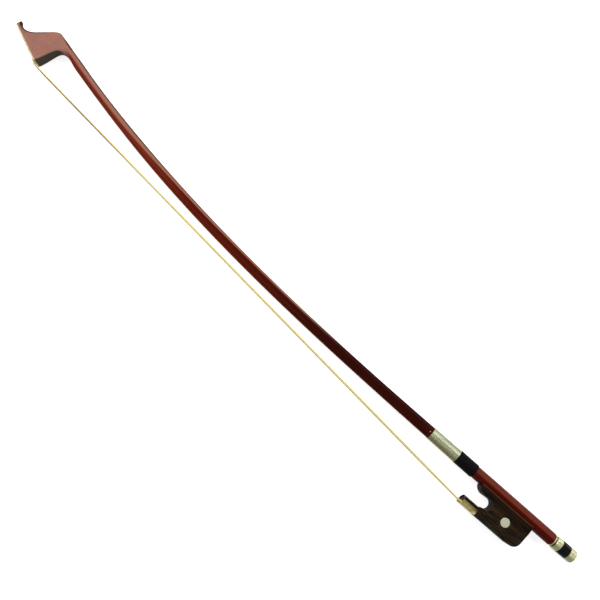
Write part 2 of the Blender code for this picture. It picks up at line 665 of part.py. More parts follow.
def build_frog_body(parts, tools):
    """Ebony frog: side outline met with the cross-section, then its recesses."""
    corner = FROG_CORNER_RADIUS
    outline = [(FROG_TOP_REAR_X, FROG_BLANK_TOP_Y), (FROG_TOP_REAR_X, -HANDLE_RADIUS)]
    outline += arc(FROG_SIDE_REAR_X - corner, FROG_REAR_BOTTOM_Y + corner, corner, corner,
                   0, -90, 10)
    outline.append((FERRULE_REAR_X + GAP, FROG_FRONT_BOTTOM_Y))
    outline.append((FERRULE_REAR_X + GAP, FERRULE_TOP_Y))
    outline.append((SHELF_X, SHELF_Y))
    outline += arc(THROAT_X, THROAT_Y, THROAT_RADIUS, THROAT_RADIUS, -100, 90, 16)
    outline += arc(NOSE_X, NOSE_Y, NOSE_RADIUS, NOSE_RADIUS, 270, 180, 12)
    outline.append((NOSE_X - NOSE_RADIUS, FROG_BLANK_TOP_Y))
    body = plate("frog_body", [outline], -FROG_HALF_WIDTH - CUT_OVER, FROG_HALF_WIDTH + CUT_OVER,
                 parts, "ebony")
    bevel = FROG_EDGE
    edge_y = FROG_FRONT_BOTTOM_Y + FROG_EDGE * 1.2
    low_y = FROG_FRONT_BOTTOM_Y - FROG_EDGE * 0.2
    section = [
        (low_y - CUT_OVER, -FROG_HALF_WIDTH + bevel), (low_y - CUT_OVER, FROG_HALF_WIDTH - bevel),
        (low_y, FROG_HALF_WIDTH - bevel), (edge_y, FROG_HALF_WIDTH),
    ]
    drop = FROG_HALF_WIDTH - FROG_TOP_HALF_WIDTH
    rise = facet_y(FROG_TOP_HALF_WIDTH, GAP * 2 + LINER_THICKNESS) - FROG_SHOULDER_Y
    slope = []
    for step in range(9):
        part = step / 8.0
        slope.append((FROG_SHOULDER_Y + rise * part, FROG_HALF_WIDTH - drop * part ** 1.6))
    section += slope
    section.append((0.0, FROG_TOP_HALF_WIDTH))
    section.append((0.0, -FROG_TOP_HALF_WIDTH))
    section += [(y, -z) for y, z in reversed(slope)]
    section.append((edge_y, -FROG_HALF_WIDTH))
    section.append((low_y, -FROG_HALF_WIDTH + bevel))
    front, rear = NOSE_X - NOSE_RADIUS - CUT_OVER, FROG_TOP_REAR_X + CUT_OVER
    shape = plate("cut_frog_section", [section], front, rear, tools, None, ALONG_X)
    cut(body, shape, "INTERSECT")
    tongue = plate("cut_tongue", [ferrule_outline(FERRULE_WALL + GAP)],
                   TONGUE_FRONT_X, FERRULE_REAR_X + 0.0015, tools, None, ALONG_X)
    trim = box("cut_tongue_trim",
               (TONGUE_FRONT_X - CUT_OVER, FERRULE_BOTTOM_Y - CUT_OVER, -FROG_HALF_WIDTH - CUT_OVER),
               (FERRULE_REAR_X + GAP, TONGUE_BOTTOM_Y, FROG_HALF_WIDTH + CUT_OVER), tools)
    cut(tongue, trim)
    cut(body, tongue, "UNION")
    across = channel_outline(GAP * 2 + LINER_THICKNESS, FROG_HALF_WIDTH + CUT_OVER, CUT_OVER)
    channel = plate("cut_channel", [across], front, rear, tools, None, ALONG_X)
    cut(body, channel)
    shank = turned(
        "cut_shank",
        [(0.0, 0.0), (EYELET_SHANK_RADIUS + GAP, 0.0),
         (EYELET_SHANK_RADIUS + GAP, EYELET_SHANK_BOTTOM_Y - GAP),
         (0.0, EYELET_SHANK_BOTTOM_Y - GAP)],
        20, tools, None,
        Matrix.Translation((CARRIAGE_X, 0.0, 0.0)) @ Matrix.Rotation(-math.pi / 2.0, 4, "X"),
    )
    cut(body, shank)
    pin_bottom = facet_y(0.0, GAP) - LINER_PIN_LENGTH - GAP
    for index, x in enumerate(LINER_PIN_XS):
        hole = turned(
            "cut_liner_pin_%d" % index,
            [(0.0, 0.0), (LINER_PIN_RADIUS + GAP, 0.0), (LINER_PIN_RADIUS + GAP, pin_bottom),
             (0.0, pin_bottom)],
            12, tools, None,
            Matrix.Translation((x, 0.0, 0.0)) @ Matrix.Rotation(-math.pi / 2.0, 4, "X"),
        )
        cut(body, hole)
    wide = SLIDE_HALF_WIDTH + SLIDE_UNDERCUT
    groove = [
        (low_y - CUT_OVER, -SLIDE_HALF_WIDTH), (low_y - CUT_OVER, SLIDE_HALF_WIDTH),
        (low_y, SLIDE_HALF_WIDTH), (FROG_FRONT_BOTTOM_Y + SLIDE_DEPTH, wide),
        (FROG_FRONT_BOTTOM_Y + SLIDE_DEPTH, -wide), (low_y, -SLIDE_HALF_WIDTH),
    ]
    slide_cut = plate("cut_slide", [groove], FERRULE_REAR_X - CUT_OVER, SLIDE_REAR_X, tools, None,
                      slide_matrix())
    cut(body, slide_cut)
    way_half = HAIR_TAIL_HALF_WIDTH + GAP * 2
    hair_way = box("cut_hair_way", (FERRULE_REAR_X - CUT_OVER, HAIR_WAY_BOTTOM_Y, -way_half),
                   (FROG_MORTISE_FRONT_X + 0.0005, HAIR_WAY_TOP_Y, way_half), tools)
    cut(body, hair_way)
    hollow = box("cut_frog_mortise",
                 (FROG_MORTISE_FRONT_X, HAIR_WAY_BOTTOM_Y, -FROG_MORTISE_HALF_WIDTH),
                 (FROG_MORTISE_REAR_X, FROG_MORTISE_TOP_Y, FROG_MORTISE_HALF_WIDTH), tools)
    cut(body, hollow)
    for sign in (-1.0, 1.0):
        inner = sign * (FROG_HALF_WIDTH - EYE_THICKNESS - GAP)
        outer = sign * (FROG_HALF_WIDTH + CUT_OVER)
        low, high = min(inner, outer), max(inner, outer)
        recess = turned(
            "cut_eye_%d" % int(sign + 1),
            [(0.0, high), (EYE_RADIUS + GAP, high), (EYE_RADIUS + GAP, low), (0.0, low)],
            32, tools, None, Matrix.Translation((EYE_X, EYE_Y, 0.0)),
        )
        cut(body, recess)
    return body


def build_frog_fittings(parts, tools):
    """Everything that is carried by the frog."""
    pieces = []
    pieces.append(plate("ferrule", [ferrule_outline(0.0), ferrule_outline(FERRULE_WALL)],
                        FERRULE_FRONT_X, FERRULE_REAR_X, parts, "nickel_silver", ALONG_X))
    top = TONGUE_BOTTOM_Y - GAP
    pieces.append(box("ferrule_wedge",
                      (FERRULE_FRONT_X + 0.0009, top - WEDGE_THICKNESS, -WEDGE_HALF_WIDTH),
                      (FERRULE_REAR_X - 0.0019, top, WEDGE_HALF_WIDTH), parts, "maple"))
    lip = 0.0005
    half = 0.0050
    radius = 0.0016
    profile = [
        (0.0, half), (radius - lip, half), (radius, half - lip),
        (radius, -half + lip), (radius - lip, -half), (0.0, -half),
    ]
    at = Matrix.Translation((FROG_MORTISE_FRONT_X + 0.0025, FROG_MORTISE_TOP_Y - 0.0022, 0.0))
    pieces.append(turned("frog_hair_knot", profile, 20, parts, "hair_thread", at))
    plug_half = FROG_MORTISE_HALF_WIDTH - GAP
    pieces.append(box("frog_plug",
                      (FROG_MORTISE_FRONT_X + 0.0046, HAIR_WAY_BOTTOM_Y + 0.0010, -plug_half),
                      (FROG_MORTISE_REAR_X - GAP, FROG_MORTISE_TOP_Y - GAP, plug_half),
                      parts, "maple"))
    depth = FROG_FRONT_BOTTOM_Y + SLIDE_DEPTH - GAP
    wide = SLIDE_HALF_WIDTH + SLIDE_UNDERCUT - GAP
    groove = [
        (FROG_FRONT_BOTTOM_Y + 0.0001, -SLIDE_HALF_WIDTH + GAP),
        (FROG_FRONT_BOTTOM_Y + 0.0001, SLIDE_HALF_WIDTH - GAP),
        (depth, wide), (depth, -wide),
    ]
    pieces.append(plate("frog_slide_plate", [groove], FERRULE_REAR_X + GAP, SLIDE_REAR_X - GAP,
                        parts, "ebony_slide", slide_matrix()))
    for name, sign in (("pearl_eye_near", 1.0), ("pearl_eye_far", -1.0)):
        rim = FROG_HALF_WIDTH - 0.0001
        back = FROG_HALF_WIDTH - EYE_THICKNESS
        profile = [
            (0.0, FROG_HALF_WIDTH), (EYE_RADIUS - 0.0003, FROG_HALF_WIDTH),
            (EYE_RADIUS, rim), (EYE_RADIUS, back), (0.0, back),
        ]
        matrix = Matrix.Translation((EYE_X, EYE_Y, 0.0))
        if sign < 0.0:
            matrix = matrix @ Matrix.Rotation(math.pi, 4, "X")
        pieces.append(turned(name, profile, 32, parts, "pearl", matrix, 0.0, False))
    half = FROG_TOP_HALF_WIDTH
    upper = [(facet_y(half, GAP), half), (facet_y(0.0, GAP), 0.0), (facet_y(half, GAP), -half)]
    reach = GAP + LINER_THICKNESS
    lower = [(facet_y(half, reach), -half), (facet_y(0.0, reach), 0.0),
             (facet_y(half, reach), half)]
    liner = plate("underslide", [upper + lower], LINER_FRONT_X, LINER_REAR_X,
                  parts, "brass", ALONG_X)
    down = Matrix.Rotation(-math.pi / 2.0, 4, "X")
    hole = turned(
        "cut_liner_shank",
        [(0.0, 0.0), (EYELET_SHANK_RADIUS + GAP, 0.0), (EYELET_SHANK_RADIUS + GAP, -0.0090),
         (0.0, -0.0090)],
        20, tools, None, Matrix.Translation((CARRIAGE_X, 0.0, 0.0)) @ down,
    )
    cut(liner, hole)
    head_y = facet_y(0.0, GAP) - 0.00005
    pin_names = ("underslide_pin_front", "underslide_pin_rear")
    for index, (name, x) in enumerate(zip(pin_names, LINER_PIN_XS)):
        hole = turned(
            "cut_liner_hole_%d" % index,
            [(0.0, 0.0), (LINER_PIN_RADIUS + GAP, 0.0), (LINER_PIN_RADIUS + GAP, -0.0090),
             (0.0, -0.0090)],
            12, tools, None, Matrix.Translation((x, 0.0, 0.0)) @ down,
        )
        cut(liner, hole)
        profile = [
            (0.0, head_y), (LINER_PIN_RADIUS, head_y),
            (LINER_PIN_RADIUS, head_y - LINER_PIN_LENGTH + 0.001),
            (0.0, head_y - LINER_PIN_LENGTH),
        ]
        place = Matrix.Translation((x, 0.0, 0.0)) @ down
        pieces.append(turned(name, profile, 12, parts, "brass", place))
    pieces.append(liner)
    outline = [
        (CARRIAGE_X - EYELET_HALF_LENGTH, -0.0045), (CARRIAGE_X + EYELET_HALF_LENGTH, -0.0045),
    ]
    outline += arc(CARRIAGE_X, 0.0, EYELET_HALF_LENGTH, EYELET_TOP_Y, 0, 180, 14)
    eyelet = plate("eyelet", [outline], -EYELET_HALF_WIDTH, EYELET_HALF_WIDTH, parts, "brass")
    foot = turned(
        "cut_eyelet_foot",
        [(0.0, -0.0035), (EYELET_SHANK_RADIUS, -0.0035),
         (EYELET_SHANK_RADIUS, EYELET_SHANK_BOTTOM_Y + 0.0005),
         (EYELET_SHANK_RADIUS - 0.0005, EYELET_SHANK_BOTTOM_Y), (0.0, EYELET_SHANK_BOTTOM_Y)],
        20, tools, "brass", Matrix.Translation((CARRIAGE_X, 0.0, 0.0)) @ down,
    )
    cut(eyelet, foot, "UNION")
    bore = cylinder_x("cut_eyelet_bore", CARRIAGE_X - 0.010, CARRIAGE_X + 0.010,
                      SCREW_RADIUS + GAP, 24, tools)
    cut(eyelet, bore)
    pieces.append(eyelet)
    return pieces


def build_screw(parts, tools):
    """Adjusting screw and the three-part button."""
    lip = 0.0006
    profile = [
        (0.0, SCREW_END_X), (SCREW_RADIUS, SCREW_END_X), (SCREW_RADIUS, SCREW_TIP_X + lip),
        (SCREW_RADIUS - lip, SCREW_TIP_X), (0.0, SCREW_TIP_X),
    ]
    screw = turned("adjusting_screw", profile, 24, parts, "steel", ALONG_X)
    bore = (SCREW_RADIUS + GAP) / math.cos(math.pi / FACETS)
    spigot = SPIGOT_RADIUS
    core = turned("button_core", [
        (0.0, SPIGOT_END_X), (spigot, SPIGOT_END_X), (spigot, BAND_END_X - GAP / 2.0),
        (BUTTON_RADIUS - 0.0002, BAND_END_X - GAP / 2.0),
        (BUTTON_RADIUS, BAND_END_X - GAP / 2.0 - 0.0002),
        (BUTTON_RADIUS, COLLAR_END_X + GAP / 2.0 + 0.0002),
        (BUTTON_RADIUS - 0.0002, COLLAR_END_X + GAP / 2.0),
        (spigot, COLLAR_END_X + GAP / 2.0), (spigot, BUTTON_RING_X + 0.0010),
        (bore, BUTTON_RING_X + 0.0010), (bore, SCREW_END_X + GAP), (0.0, SCREW_END_X + GAP),
    ], FACETS, parts, "ebony_button", ALONG_X, BUTTON_TURN, False)
    inner = spigot + GAP
    collar = turned("button_collar", [
        (inner, COLLAR_END_X - GAP / 2.0), (BUTTON_RADIUS - 0.0002, COLLAR_END_X - GAP / 2.0),
        (BUTTON_RADIUS, COLLAR_END_X - GAP / 2.0 - 0.0002), (BUTTON_RADIUS, COLLAR_FACE_X + 0.0004),
        (BUTTON_RADIUS - 0.0004, COLLAR_FACE_X), (GROOVE_RADIUS, COLLAR_FACE_X),
        (GROOVE_RADIUS, BUTTON_GROOVE_X), (RING_RADIUS, BUTTON_GROOVE_X),
        (RING_RADIUS, BUTTON_RING_X + 0.0002), (RING_RADIUS - 0.0002, BUTTON_RING_X),
        (bore, BUTTON_RING_X), (bore, BUTTON_RING_X + 0.0010 - GAP),
        (inner, BUTTON_RING_X + 0.0010 - GAP), (inner, COLLAR_END_X - GAP / 2.0),
    ], FACETS, parts, "nickel_silver", ALONG_X, BUTTON_TURN, False)
    cap = turned("button_cap", [
        (0.0, CAP_END_X), (CAP_FACE_RADIUS - 0.0010, CAP_END_X),
        (CAP_FACE_RADIUS, CAP_END_X - 0.0003),
        (BUTTON_RADIUS - 0.0003, CAP_SHOULDER_X + 0.0003), (BUTTON_RADIUS, CAP_SHOULDER_X),
        (BUTTON_RADIUS, BAND_END_X + GAP / 2.0 + 0.0002),
        (BUTTON_RADIUS - 0.0002, BAND_END_X + GAP / 2.0), (inner, BAND_END_X + GAP / 2.0),
        (inner, SPIGOT_END_X + GAP), (0.0, SPIGOT_END_X + GAP),
    ], FACETS, parts, "nickel_silver", ALONG_X, BUTTON_TURN, False)
    flat = BUTTON_RADIUS * math.cos(FACET_TURN)
    under = BUTTON_TURN - FACET_TURN
    reach = flat - 0.0001
    pieces = [screw, core, collar, cap]
    pin_names = ("button_pin_collar", "button_pin_cap")
    for index, (pin_name, x) in enumerate(zip(pin_names, (0.0030, 0.0160))):
        swing = Matrix.Rotation(under, 4, "X") @ Matrix.Rotation(math.pi, 4, "X")
        place = Matrix.Translation((x, 0.0, 0.0)) @ swing
        tall = reach + 0.002
        deep = reach - BUTTON_PIN_LENGTH
        size = BUTTON_PIN_RADIUS + GAP
        name = "cut_button_pin_%d" % index
        hole = turned(name, [(0.0, tall), (size, tall), (size, deep - GAP), (0.0, deep - GAP)],
                      12, tools, None, place)
        cut(core, hole)
        cut(collar if index == 0 else cap, hole)
        size = BUTTON_PIN_RADIUS
        profile = [(0.0, reach), (size, reach), (size, deep), (0.0, deep)]
        pieces.append(turned(pin_name, profile, 12, parts, "nickel_silver", place))
    return pieces


def carry(pieces, empty):
    """Hang pieces from an empty that stands on their joint's axis."""
    back = Matrix.Translation(-empty.location)
    for piece in pieces:
        piece.data.transform(back)
        piece.parent = empty


def new_empty(name, location, collection, parent=None):
    """A small axis marker."""
    empty = bpy.data.objects.new(name, None)
    empty.empty_display_size = 0.01
    empty.location = location
    empty.parent = parent
    collection.objects.link(empty)
    return empty


def bounding_shift(pieces):
    """Offset that brings the bottom centre of the evaluated pieces to the origin."""
    bpy.context.view_layer.update()
    graph = bpy.context.evaluated_depsgraph_get()
    points = []
    for piece in pieces:
        final = piece.evaluated_get(graph)
        points += [final.matrix_world @ Vector(corner) for corner in final.bound_box]
    low = [min(point[axis] for point in points) for axis in range(3)]
    high = [max(point[axis] for point in points) for axis in range(3)]
    return Vector((-(low[0] + high[0]) / 2.0, -(low[1] + high[1]) / 2.0, -low[2]))


def main():
    clear_scene()
    parts = new_collection("Double_Bass_Bow")
    tools = new_collection("Cutters")
    root = new_empty("bow_root", (0.0, 0.0, 0.0), parts)
    fixed = [build_stick(parts, tools)]
    fixed += build_wrappings(parts)
    fixed += build_head_fittings(parts, tools)
    fixed.append(build_hair(parts))
    frog = [build_frog_body(parts, tools)] + build_frog_fittings(parts, tools)
    screw = build_screw(parts, tools)
    for piece in fixed:
        piece.parent = root
    carriage = new_empty("frog_carriage", (CARRIAGE_X, 0.0, 0.0), parts, root)
    axis = new_empty("screw_axis", (0.0, 0.0, 0.0), parts, root)
    carry(frog, carriage)
    carry(screw, axis)
    for cutter in list(tools.objects):
        users = {
            piece.parent for piece in parts.objects
            for modifier in piece.modifiers
            if modifier.type == "BOOLEAN" and modifier.object == cutter
        }
        cutter.parent = root
        if carriage in users:
            cutter.data.transform(Matrix.Translation(-carriage.location))
            cutter.parent = carriage
    nested = tools.objects.get("cut_tongue_trim")
    nested.data.transform(Matrix.Translation(-carriage.location))
    nested.parent = carriage
    root.location = bounding_shift(fixed + frog + screw)


main()
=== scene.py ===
"""French-pattern double bass bow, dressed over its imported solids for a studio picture.

Sizes are millimetres in the maker's drawing: X runs along the adjusting screw from the
head to the button, Y from the hair to the stick, Z across the hair. The drawing's zero
is the screw's axis at the stick end.
"""

import json
import logging
import math
import random
from dataclasses import dataclass
from enum import Enum
from typing import Mapping, Sequence, Union

import bmesh
import bpy
from mathutils import Matrix, Vector
from mathutils.geometry import delaunay_2d_cdt
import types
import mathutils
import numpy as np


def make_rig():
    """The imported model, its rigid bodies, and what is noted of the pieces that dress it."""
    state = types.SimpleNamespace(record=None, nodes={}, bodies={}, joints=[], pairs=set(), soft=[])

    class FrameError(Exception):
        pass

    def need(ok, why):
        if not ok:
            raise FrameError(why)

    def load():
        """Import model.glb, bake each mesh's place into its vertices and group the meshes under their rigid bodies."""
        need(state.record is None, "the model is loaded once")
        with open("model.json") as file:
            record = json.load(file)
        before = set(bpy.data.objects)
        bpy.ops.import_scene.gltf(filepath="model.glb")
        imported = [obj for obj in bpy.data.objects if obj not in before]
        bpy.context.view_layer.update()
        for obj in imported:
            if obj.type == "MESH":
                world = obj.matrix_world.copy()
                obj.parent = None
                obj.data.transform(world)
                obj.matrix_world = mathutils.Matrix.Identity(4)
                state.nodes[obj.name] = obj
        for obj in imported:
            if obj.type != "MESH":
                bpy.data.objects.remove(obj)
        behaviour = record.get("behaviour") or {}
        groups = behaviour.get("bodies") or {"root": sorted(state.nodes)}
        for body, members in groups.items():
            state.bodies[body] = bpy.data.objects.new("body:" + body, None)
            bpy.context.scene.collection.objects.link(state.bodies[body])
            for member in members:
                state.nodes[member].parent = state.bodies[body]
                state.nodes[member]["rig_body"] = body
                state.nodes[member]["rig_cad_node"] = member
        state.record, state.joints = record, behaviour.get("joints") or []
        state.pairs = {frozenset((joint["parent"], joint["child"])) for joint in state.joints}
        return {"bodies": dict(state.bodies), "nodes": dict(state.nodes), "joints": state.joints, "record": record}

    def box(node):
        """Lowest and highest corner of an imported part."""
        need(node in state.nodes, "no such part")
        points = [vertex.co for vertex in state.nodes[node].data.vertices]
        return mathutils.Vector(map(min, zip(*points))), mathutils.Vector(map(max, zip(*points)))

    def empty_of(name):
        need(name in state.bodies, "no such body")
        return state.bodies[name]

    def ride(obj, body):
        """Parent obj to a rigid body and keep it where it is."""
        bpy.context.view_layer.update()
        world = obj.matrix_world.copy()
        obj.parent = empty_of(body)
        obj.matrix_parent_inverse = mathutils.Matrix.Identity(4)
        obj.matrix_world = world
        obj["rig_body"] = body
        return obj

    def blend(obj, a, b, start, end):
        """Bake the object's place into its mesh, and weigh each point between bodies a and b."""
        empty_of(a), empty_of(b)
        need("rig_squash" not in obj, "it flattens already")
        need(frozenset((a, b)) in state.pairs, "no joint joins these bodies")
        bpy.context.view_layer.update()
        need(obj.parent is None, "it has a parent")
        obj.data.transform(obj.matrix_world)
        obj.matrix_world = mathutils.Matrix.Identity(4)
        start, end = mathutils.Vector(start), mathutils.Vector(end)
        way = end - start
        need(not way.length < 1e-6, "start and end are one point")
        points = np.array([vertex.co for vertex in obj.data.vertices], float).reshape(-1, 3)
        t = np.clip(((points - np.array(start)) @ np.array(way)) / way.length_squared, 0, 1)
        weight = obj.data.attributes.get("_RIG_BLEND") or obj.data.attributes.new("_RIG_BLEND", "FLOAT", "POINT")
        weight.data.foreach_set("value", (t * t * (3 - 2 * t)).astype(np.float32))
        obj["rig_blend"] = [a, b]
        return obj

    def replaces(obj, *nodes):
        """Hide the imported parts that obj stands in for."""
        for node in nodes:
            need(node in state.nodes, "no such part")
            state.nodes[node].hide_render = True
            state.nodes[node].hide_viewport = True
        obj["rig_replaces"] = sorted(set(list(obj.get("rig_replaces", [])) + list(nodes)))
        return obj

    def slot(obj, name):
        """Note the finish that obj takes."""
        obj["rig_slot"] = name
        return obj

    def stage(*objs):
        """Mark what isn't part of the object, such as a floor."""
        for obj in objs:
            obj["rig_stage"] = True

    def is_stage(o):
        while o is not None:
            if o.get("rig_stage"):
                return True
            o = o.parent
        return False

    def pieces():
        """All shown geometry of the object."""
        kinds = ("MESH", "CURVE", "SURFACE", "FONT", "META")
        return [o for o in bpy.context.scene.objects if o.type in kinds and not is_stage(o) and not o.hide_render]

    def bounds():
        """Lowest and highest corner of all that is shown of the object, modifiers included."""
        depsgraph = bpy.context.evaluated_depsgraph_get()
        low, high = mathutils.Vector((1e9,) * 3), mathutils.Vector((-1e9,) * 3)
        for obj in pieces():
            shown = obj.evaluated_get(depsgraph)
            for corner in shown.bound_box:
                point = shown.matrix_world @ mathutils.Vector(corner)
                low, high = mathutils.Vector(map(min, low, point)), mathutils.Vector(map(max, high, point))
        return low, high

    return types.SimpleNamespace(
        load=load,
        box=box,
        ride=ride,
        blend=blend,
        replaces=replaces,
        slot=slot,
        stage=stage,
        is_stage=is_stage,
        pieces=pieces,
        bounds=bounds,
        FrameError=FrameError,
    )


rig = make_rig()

LOG = logging.getLogger("bass_bow")
MM = 0.001
Ring = list[Vector]
Number = Union[int, float, "Tone"]
Colour = tuple[float, float, float]


class Body(str, Enum):
    """The rigid bodies that pieces ride on."""

    STICK = "stick"
    FROG = "frog"
    SCREW = "screw"


def srgb(red: int, green: int, blue: int) -> Colour:
    """Turn display values from 0 to 255 into a linear colour.

    Args:
        red: Red display value.
        green: Green display value.
        blue: Blue display value.

    Returns:
        The linear colour.
    """
    shares = [value / 255.0 for value in (red, green, blue)]
    return tuple(s / 12.92 if s <= 0.04045 else ((s + 0.055) / 1.055) ** 2.4 for s in shares)


def smooth(low: float, high: float, value: float) -> float:
    """Ease from 0 at low to 1 at high.

    Args:
        low: Value at which the result is 0.
        high: Value at which the result is 1.
        value: The value to ease.

    Returns:
        The eased share.
    """
    share = min(1.0, max(0.0, (value - low) / (high - low)))
    return share * share * (3.0 - 2.0 * share)


def arc(cx: float, cy: float, radius: float, start: float, end: float, steps: int) -> list[tuple]:
    """Points along a circular arc.

    Args:
        cx: Centre's first coordinate.
        cy: Centre's second coordinate.
        radius: Radius of the arc.
        start: First angle in degrees.
        end: Last angle in degrees.
        steps: Number of stretches.

    Returns:
        The points, both ends among them.
    """
    angles = [math.radians(start + (end - start) * step / steps) for step in range(steps + 1)]
    return [(cx + radius * math.cos(a), cy + radius * math.sin(a)) for a in angles]


def spline_at(rows: Sequence[Sequence[float]], index: int, share: float,
              sharp: Sequence[int] = ()) -> list[float]:
    """Read a smooth curve through rows of numbers.

    Args:
        rows: The rows the curve passes through.
        index: Row that starts the stretch.
        share: Place along the stretch, from 0 to 1.
        sharp: Rows at which the curve may turn a corner.

    Returns:
        The row at that place.
    """
    here, there = rows[index], rows[index + 1]
    mirror_back = index == 0 or index in sharp
    mirror_on = index + 2 >= len(rows) or index + 1 in sharp
    result = []
    for place, (b, c) in enumerate(zip(here, there)):
        a = 2.0 * b - c if mirror_back else rows[index - 1][place]
        d = 2.0 * c - b if mirror_on else rows[index + 2][place]
        result.append(0.5 * (
            2.0 * b + (c - a) * share + (2.0 * a - 5.0 * b + 4.0 * c - d) * share ** 2
            + (3.0 * b - a - 3.0 * c + d) * share ** 3
        ))
    return result


def soften(corners: Sequence[Vector], radii: Sequence[float], steps: int = 3,
           lead: float = 0.12) -> Ring:
    """Round the corners of a closed section and hold its flats with lead-in points.

    Args:
        corners: Corners of the section in order.
        radii: How far each rounding reaches from its corner.
        steps: Stretches in each rounding.
        lead: Distance from a rounding to its lead-in point.

    Returns:
        The points of the softened section.
    """
    ring: Ring = []
    count = len(corners)
    for index, corner in enumerate(corners):
        back = corners[index - 1] - corner
        on = corners[(index + 1) % count] - corner
        reach = min(radii[index], back.length * 0.40, on.length * 0.40)
        back_hold = min(reach + lead, back.length * 0.48)
        on_hold = min(reach + lead, on.length * 0.48)
        back.normalize()
        on.normalize()
        first, last = corner + back * reach, corner + on * reach
        ring.append(corner + back * back_hold)
        for step in range(steps + 1):
            t = step / steps
            ring.append(first * (1 - t) ** 2 + corner * (2 * t * (1 - t)) + last * t ** 2)
        ring.append(corner + on * on_hold)
    return ring


@dataclass(frozen=True)
class Datum:
    """Where the drawing's zero lies in the frame, in metres."""

    origin: Vector

    @staticmethod
    def from_frame(cap_end: float) -> "Datum":
        """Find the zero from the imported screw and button.

        Args:
            cap_end: The drawing's X of the button's rear face, in millimetres.

        Returns:
            The datum.
        """
        low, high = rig.box("adjusting_screw")
        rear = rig.box("button_cap")[1]
        middle = (low + high) / 2.0
        return Datum(Vector((rear.x - cap_end * MM, middle.y, middle.z)))

    def place(self, point: Vector) -> Vector:
        """Turn a drawing point into a frame point."""
        return self.origin + point * MM


@dataclass
class Bench:
    """Makes meshes in drawing sizes and sets them in the frame."""

    datum: Datum

    def solid(self, name: str, verts: Sequence[Vector], faces: Sequence[Sequence[int]],
              crease: float = 35.0) -> bpy.types.Object:
        """Make an object from drawing points and faces.

        Args:
            name: Name of the object.
            verts: Points in the drawing.
            faces: Corner numbers of each face.
            crease: Angle in degrees from which an edge is sharp.

        Returns:
            The object.
        """
        mesh = bpy.data.meshes.new(name)
        mesh.from_pydata([self.datum.place(Vector(v)) for v in verts], [], faces)
        mesh.update()
        work = bmesh.new()
        work.from_mesh(mesh)
        bmesh.ops.remove_doubles(work, verts=work.verts, dist=1e-7)
        bmesh.ops.recalc_face_normals(work, faces=work.faces)
        work.to_mesh(mesh)
        work.free()
        self._shade(mesh, crease)
        obj = bpy.data.objects.new(name, mesh)
        bpy.context.scene.collection.objects.link(obj)
        return obj

    @staticmethod
    def _shade(mesh: bpy.types.Mesh, crease: float) -> None:
        """Shade a mesh smooth up to the crease angle in degrees."""
        mesh.shade_smooth()
        mesh.set_sharp_from_angle(angle=math.radians(crease))

    def skin(self, name: str, rings: Sequence[Ring], crease: float = 35.0,
             looped: bool = False) -> bpy.types.Object:
        """Skin a row of sections.

        Args:
            name: Name of the object.
            rings: Sections with the same number of points.
            crease: Angle in degrees from which an edge is sharp.
            looped: Whether the last section joins the first.

        Returns:
            The object.
        """
        verts, faces = self.lattice(rings, looped)
        return self.solid(name, verts, faces, crease)

    @staticmethod
    def lattice(rings: Sequence[Ring], looped: bool = False) -> tuple[list, list]:
        """Join sections with four-sided faces.

        Args:
            rings: Sections with the same number of points.
            looped: Whether the last section joins the first.

        Returns:
            The points and the faces.
        """
        count = len(rings[0])
        verts = [point for ring in rings for point in ring]
        faces: list[tuple] = []
        rows = len(rings) if looped else len(rings) - 1
        for row in range(rows):
            base, above = row * count, ((row + 1) % len(rings)) * count
            for col in range(count):
                nxt = (col + 1) % count
                faces.append((base + col, base + nxt, above + nxt, above + col))
        if not looped:
            last = (len(rings) - 1) * count
            faces.append(tuple(reversed(range(count))))
            faces.append(tuple(last + col for col in range(count)))
        return verts, faces

    def carve(self, target: bpy.types.Object, cutter: bpy.types.Object, crease: float = 35.0) -> None:
        """Cut one object out of another and remove the cutter.

        Args:
            target: Object that is cut.
            cutter: Closed object that is taken away.
            crease: Angle in degrees from which an edge is sharp.
        """
        cut = target.modifiers.new("carve", "BOOLEAN")
        cut.solver = "EXACT"
        cut.operation = "DIFFERENCE"
        cut.object = cutter
        bpy.context.view_layer.update()
        graph = bpy.context.evaluated_depsgraph_get()
        mesh = bpy.data.meshes.new_from_object(target.evaluated_get(graph))
        target.modifiers.clear()
        target.data = mesh
        bpy.data.objects.remove(cutter, do_unlink=True)
        self._shade(mesh, crease)

    def block(self, name: str, low: Vector, high: Vector) -> bpy.types.Object:
        """Make a plain block to cut with.

        Args:
            name: Name of the object.
            low: Lowest corner.
            high: Highest corner.

        Returns:
            The object.
        """
        rings = [[Vector((x, low.y, low.z)), Vector((x, high.y, low.z)),
                  Vector((x, high.y, high.z)), Vector((x, low.y, high.z))]
                 for x in (low.x, high.x)]
        return self.skin(name, rings)

    def dress(self, obj: bpy.types.Object, material: bpy.types.Material, body: Body,
              slot: str, *nodes: str) -> bpy.types.Object:
        """Give a finished piece its material, body, slot and the solids it stands for.

        Args:
            obj: The piece.
            material: Its finish.
            body: Body it rides on.
            slot: Name of the record's material slot.
            *nodes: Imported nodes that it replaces.

        Returns:
            The piece.
        """
        obj.data.materials.clear()
        obj.data.materials.append(material)
        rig.ride(obj, body.value)
        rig.slot(obj, slot)
        if nodes:
            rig.replaces(obj, *nodes)
        LOG.info("%s: %d faces on %s", obj.name, len(obj.data.polygons), body.value)
        return obj


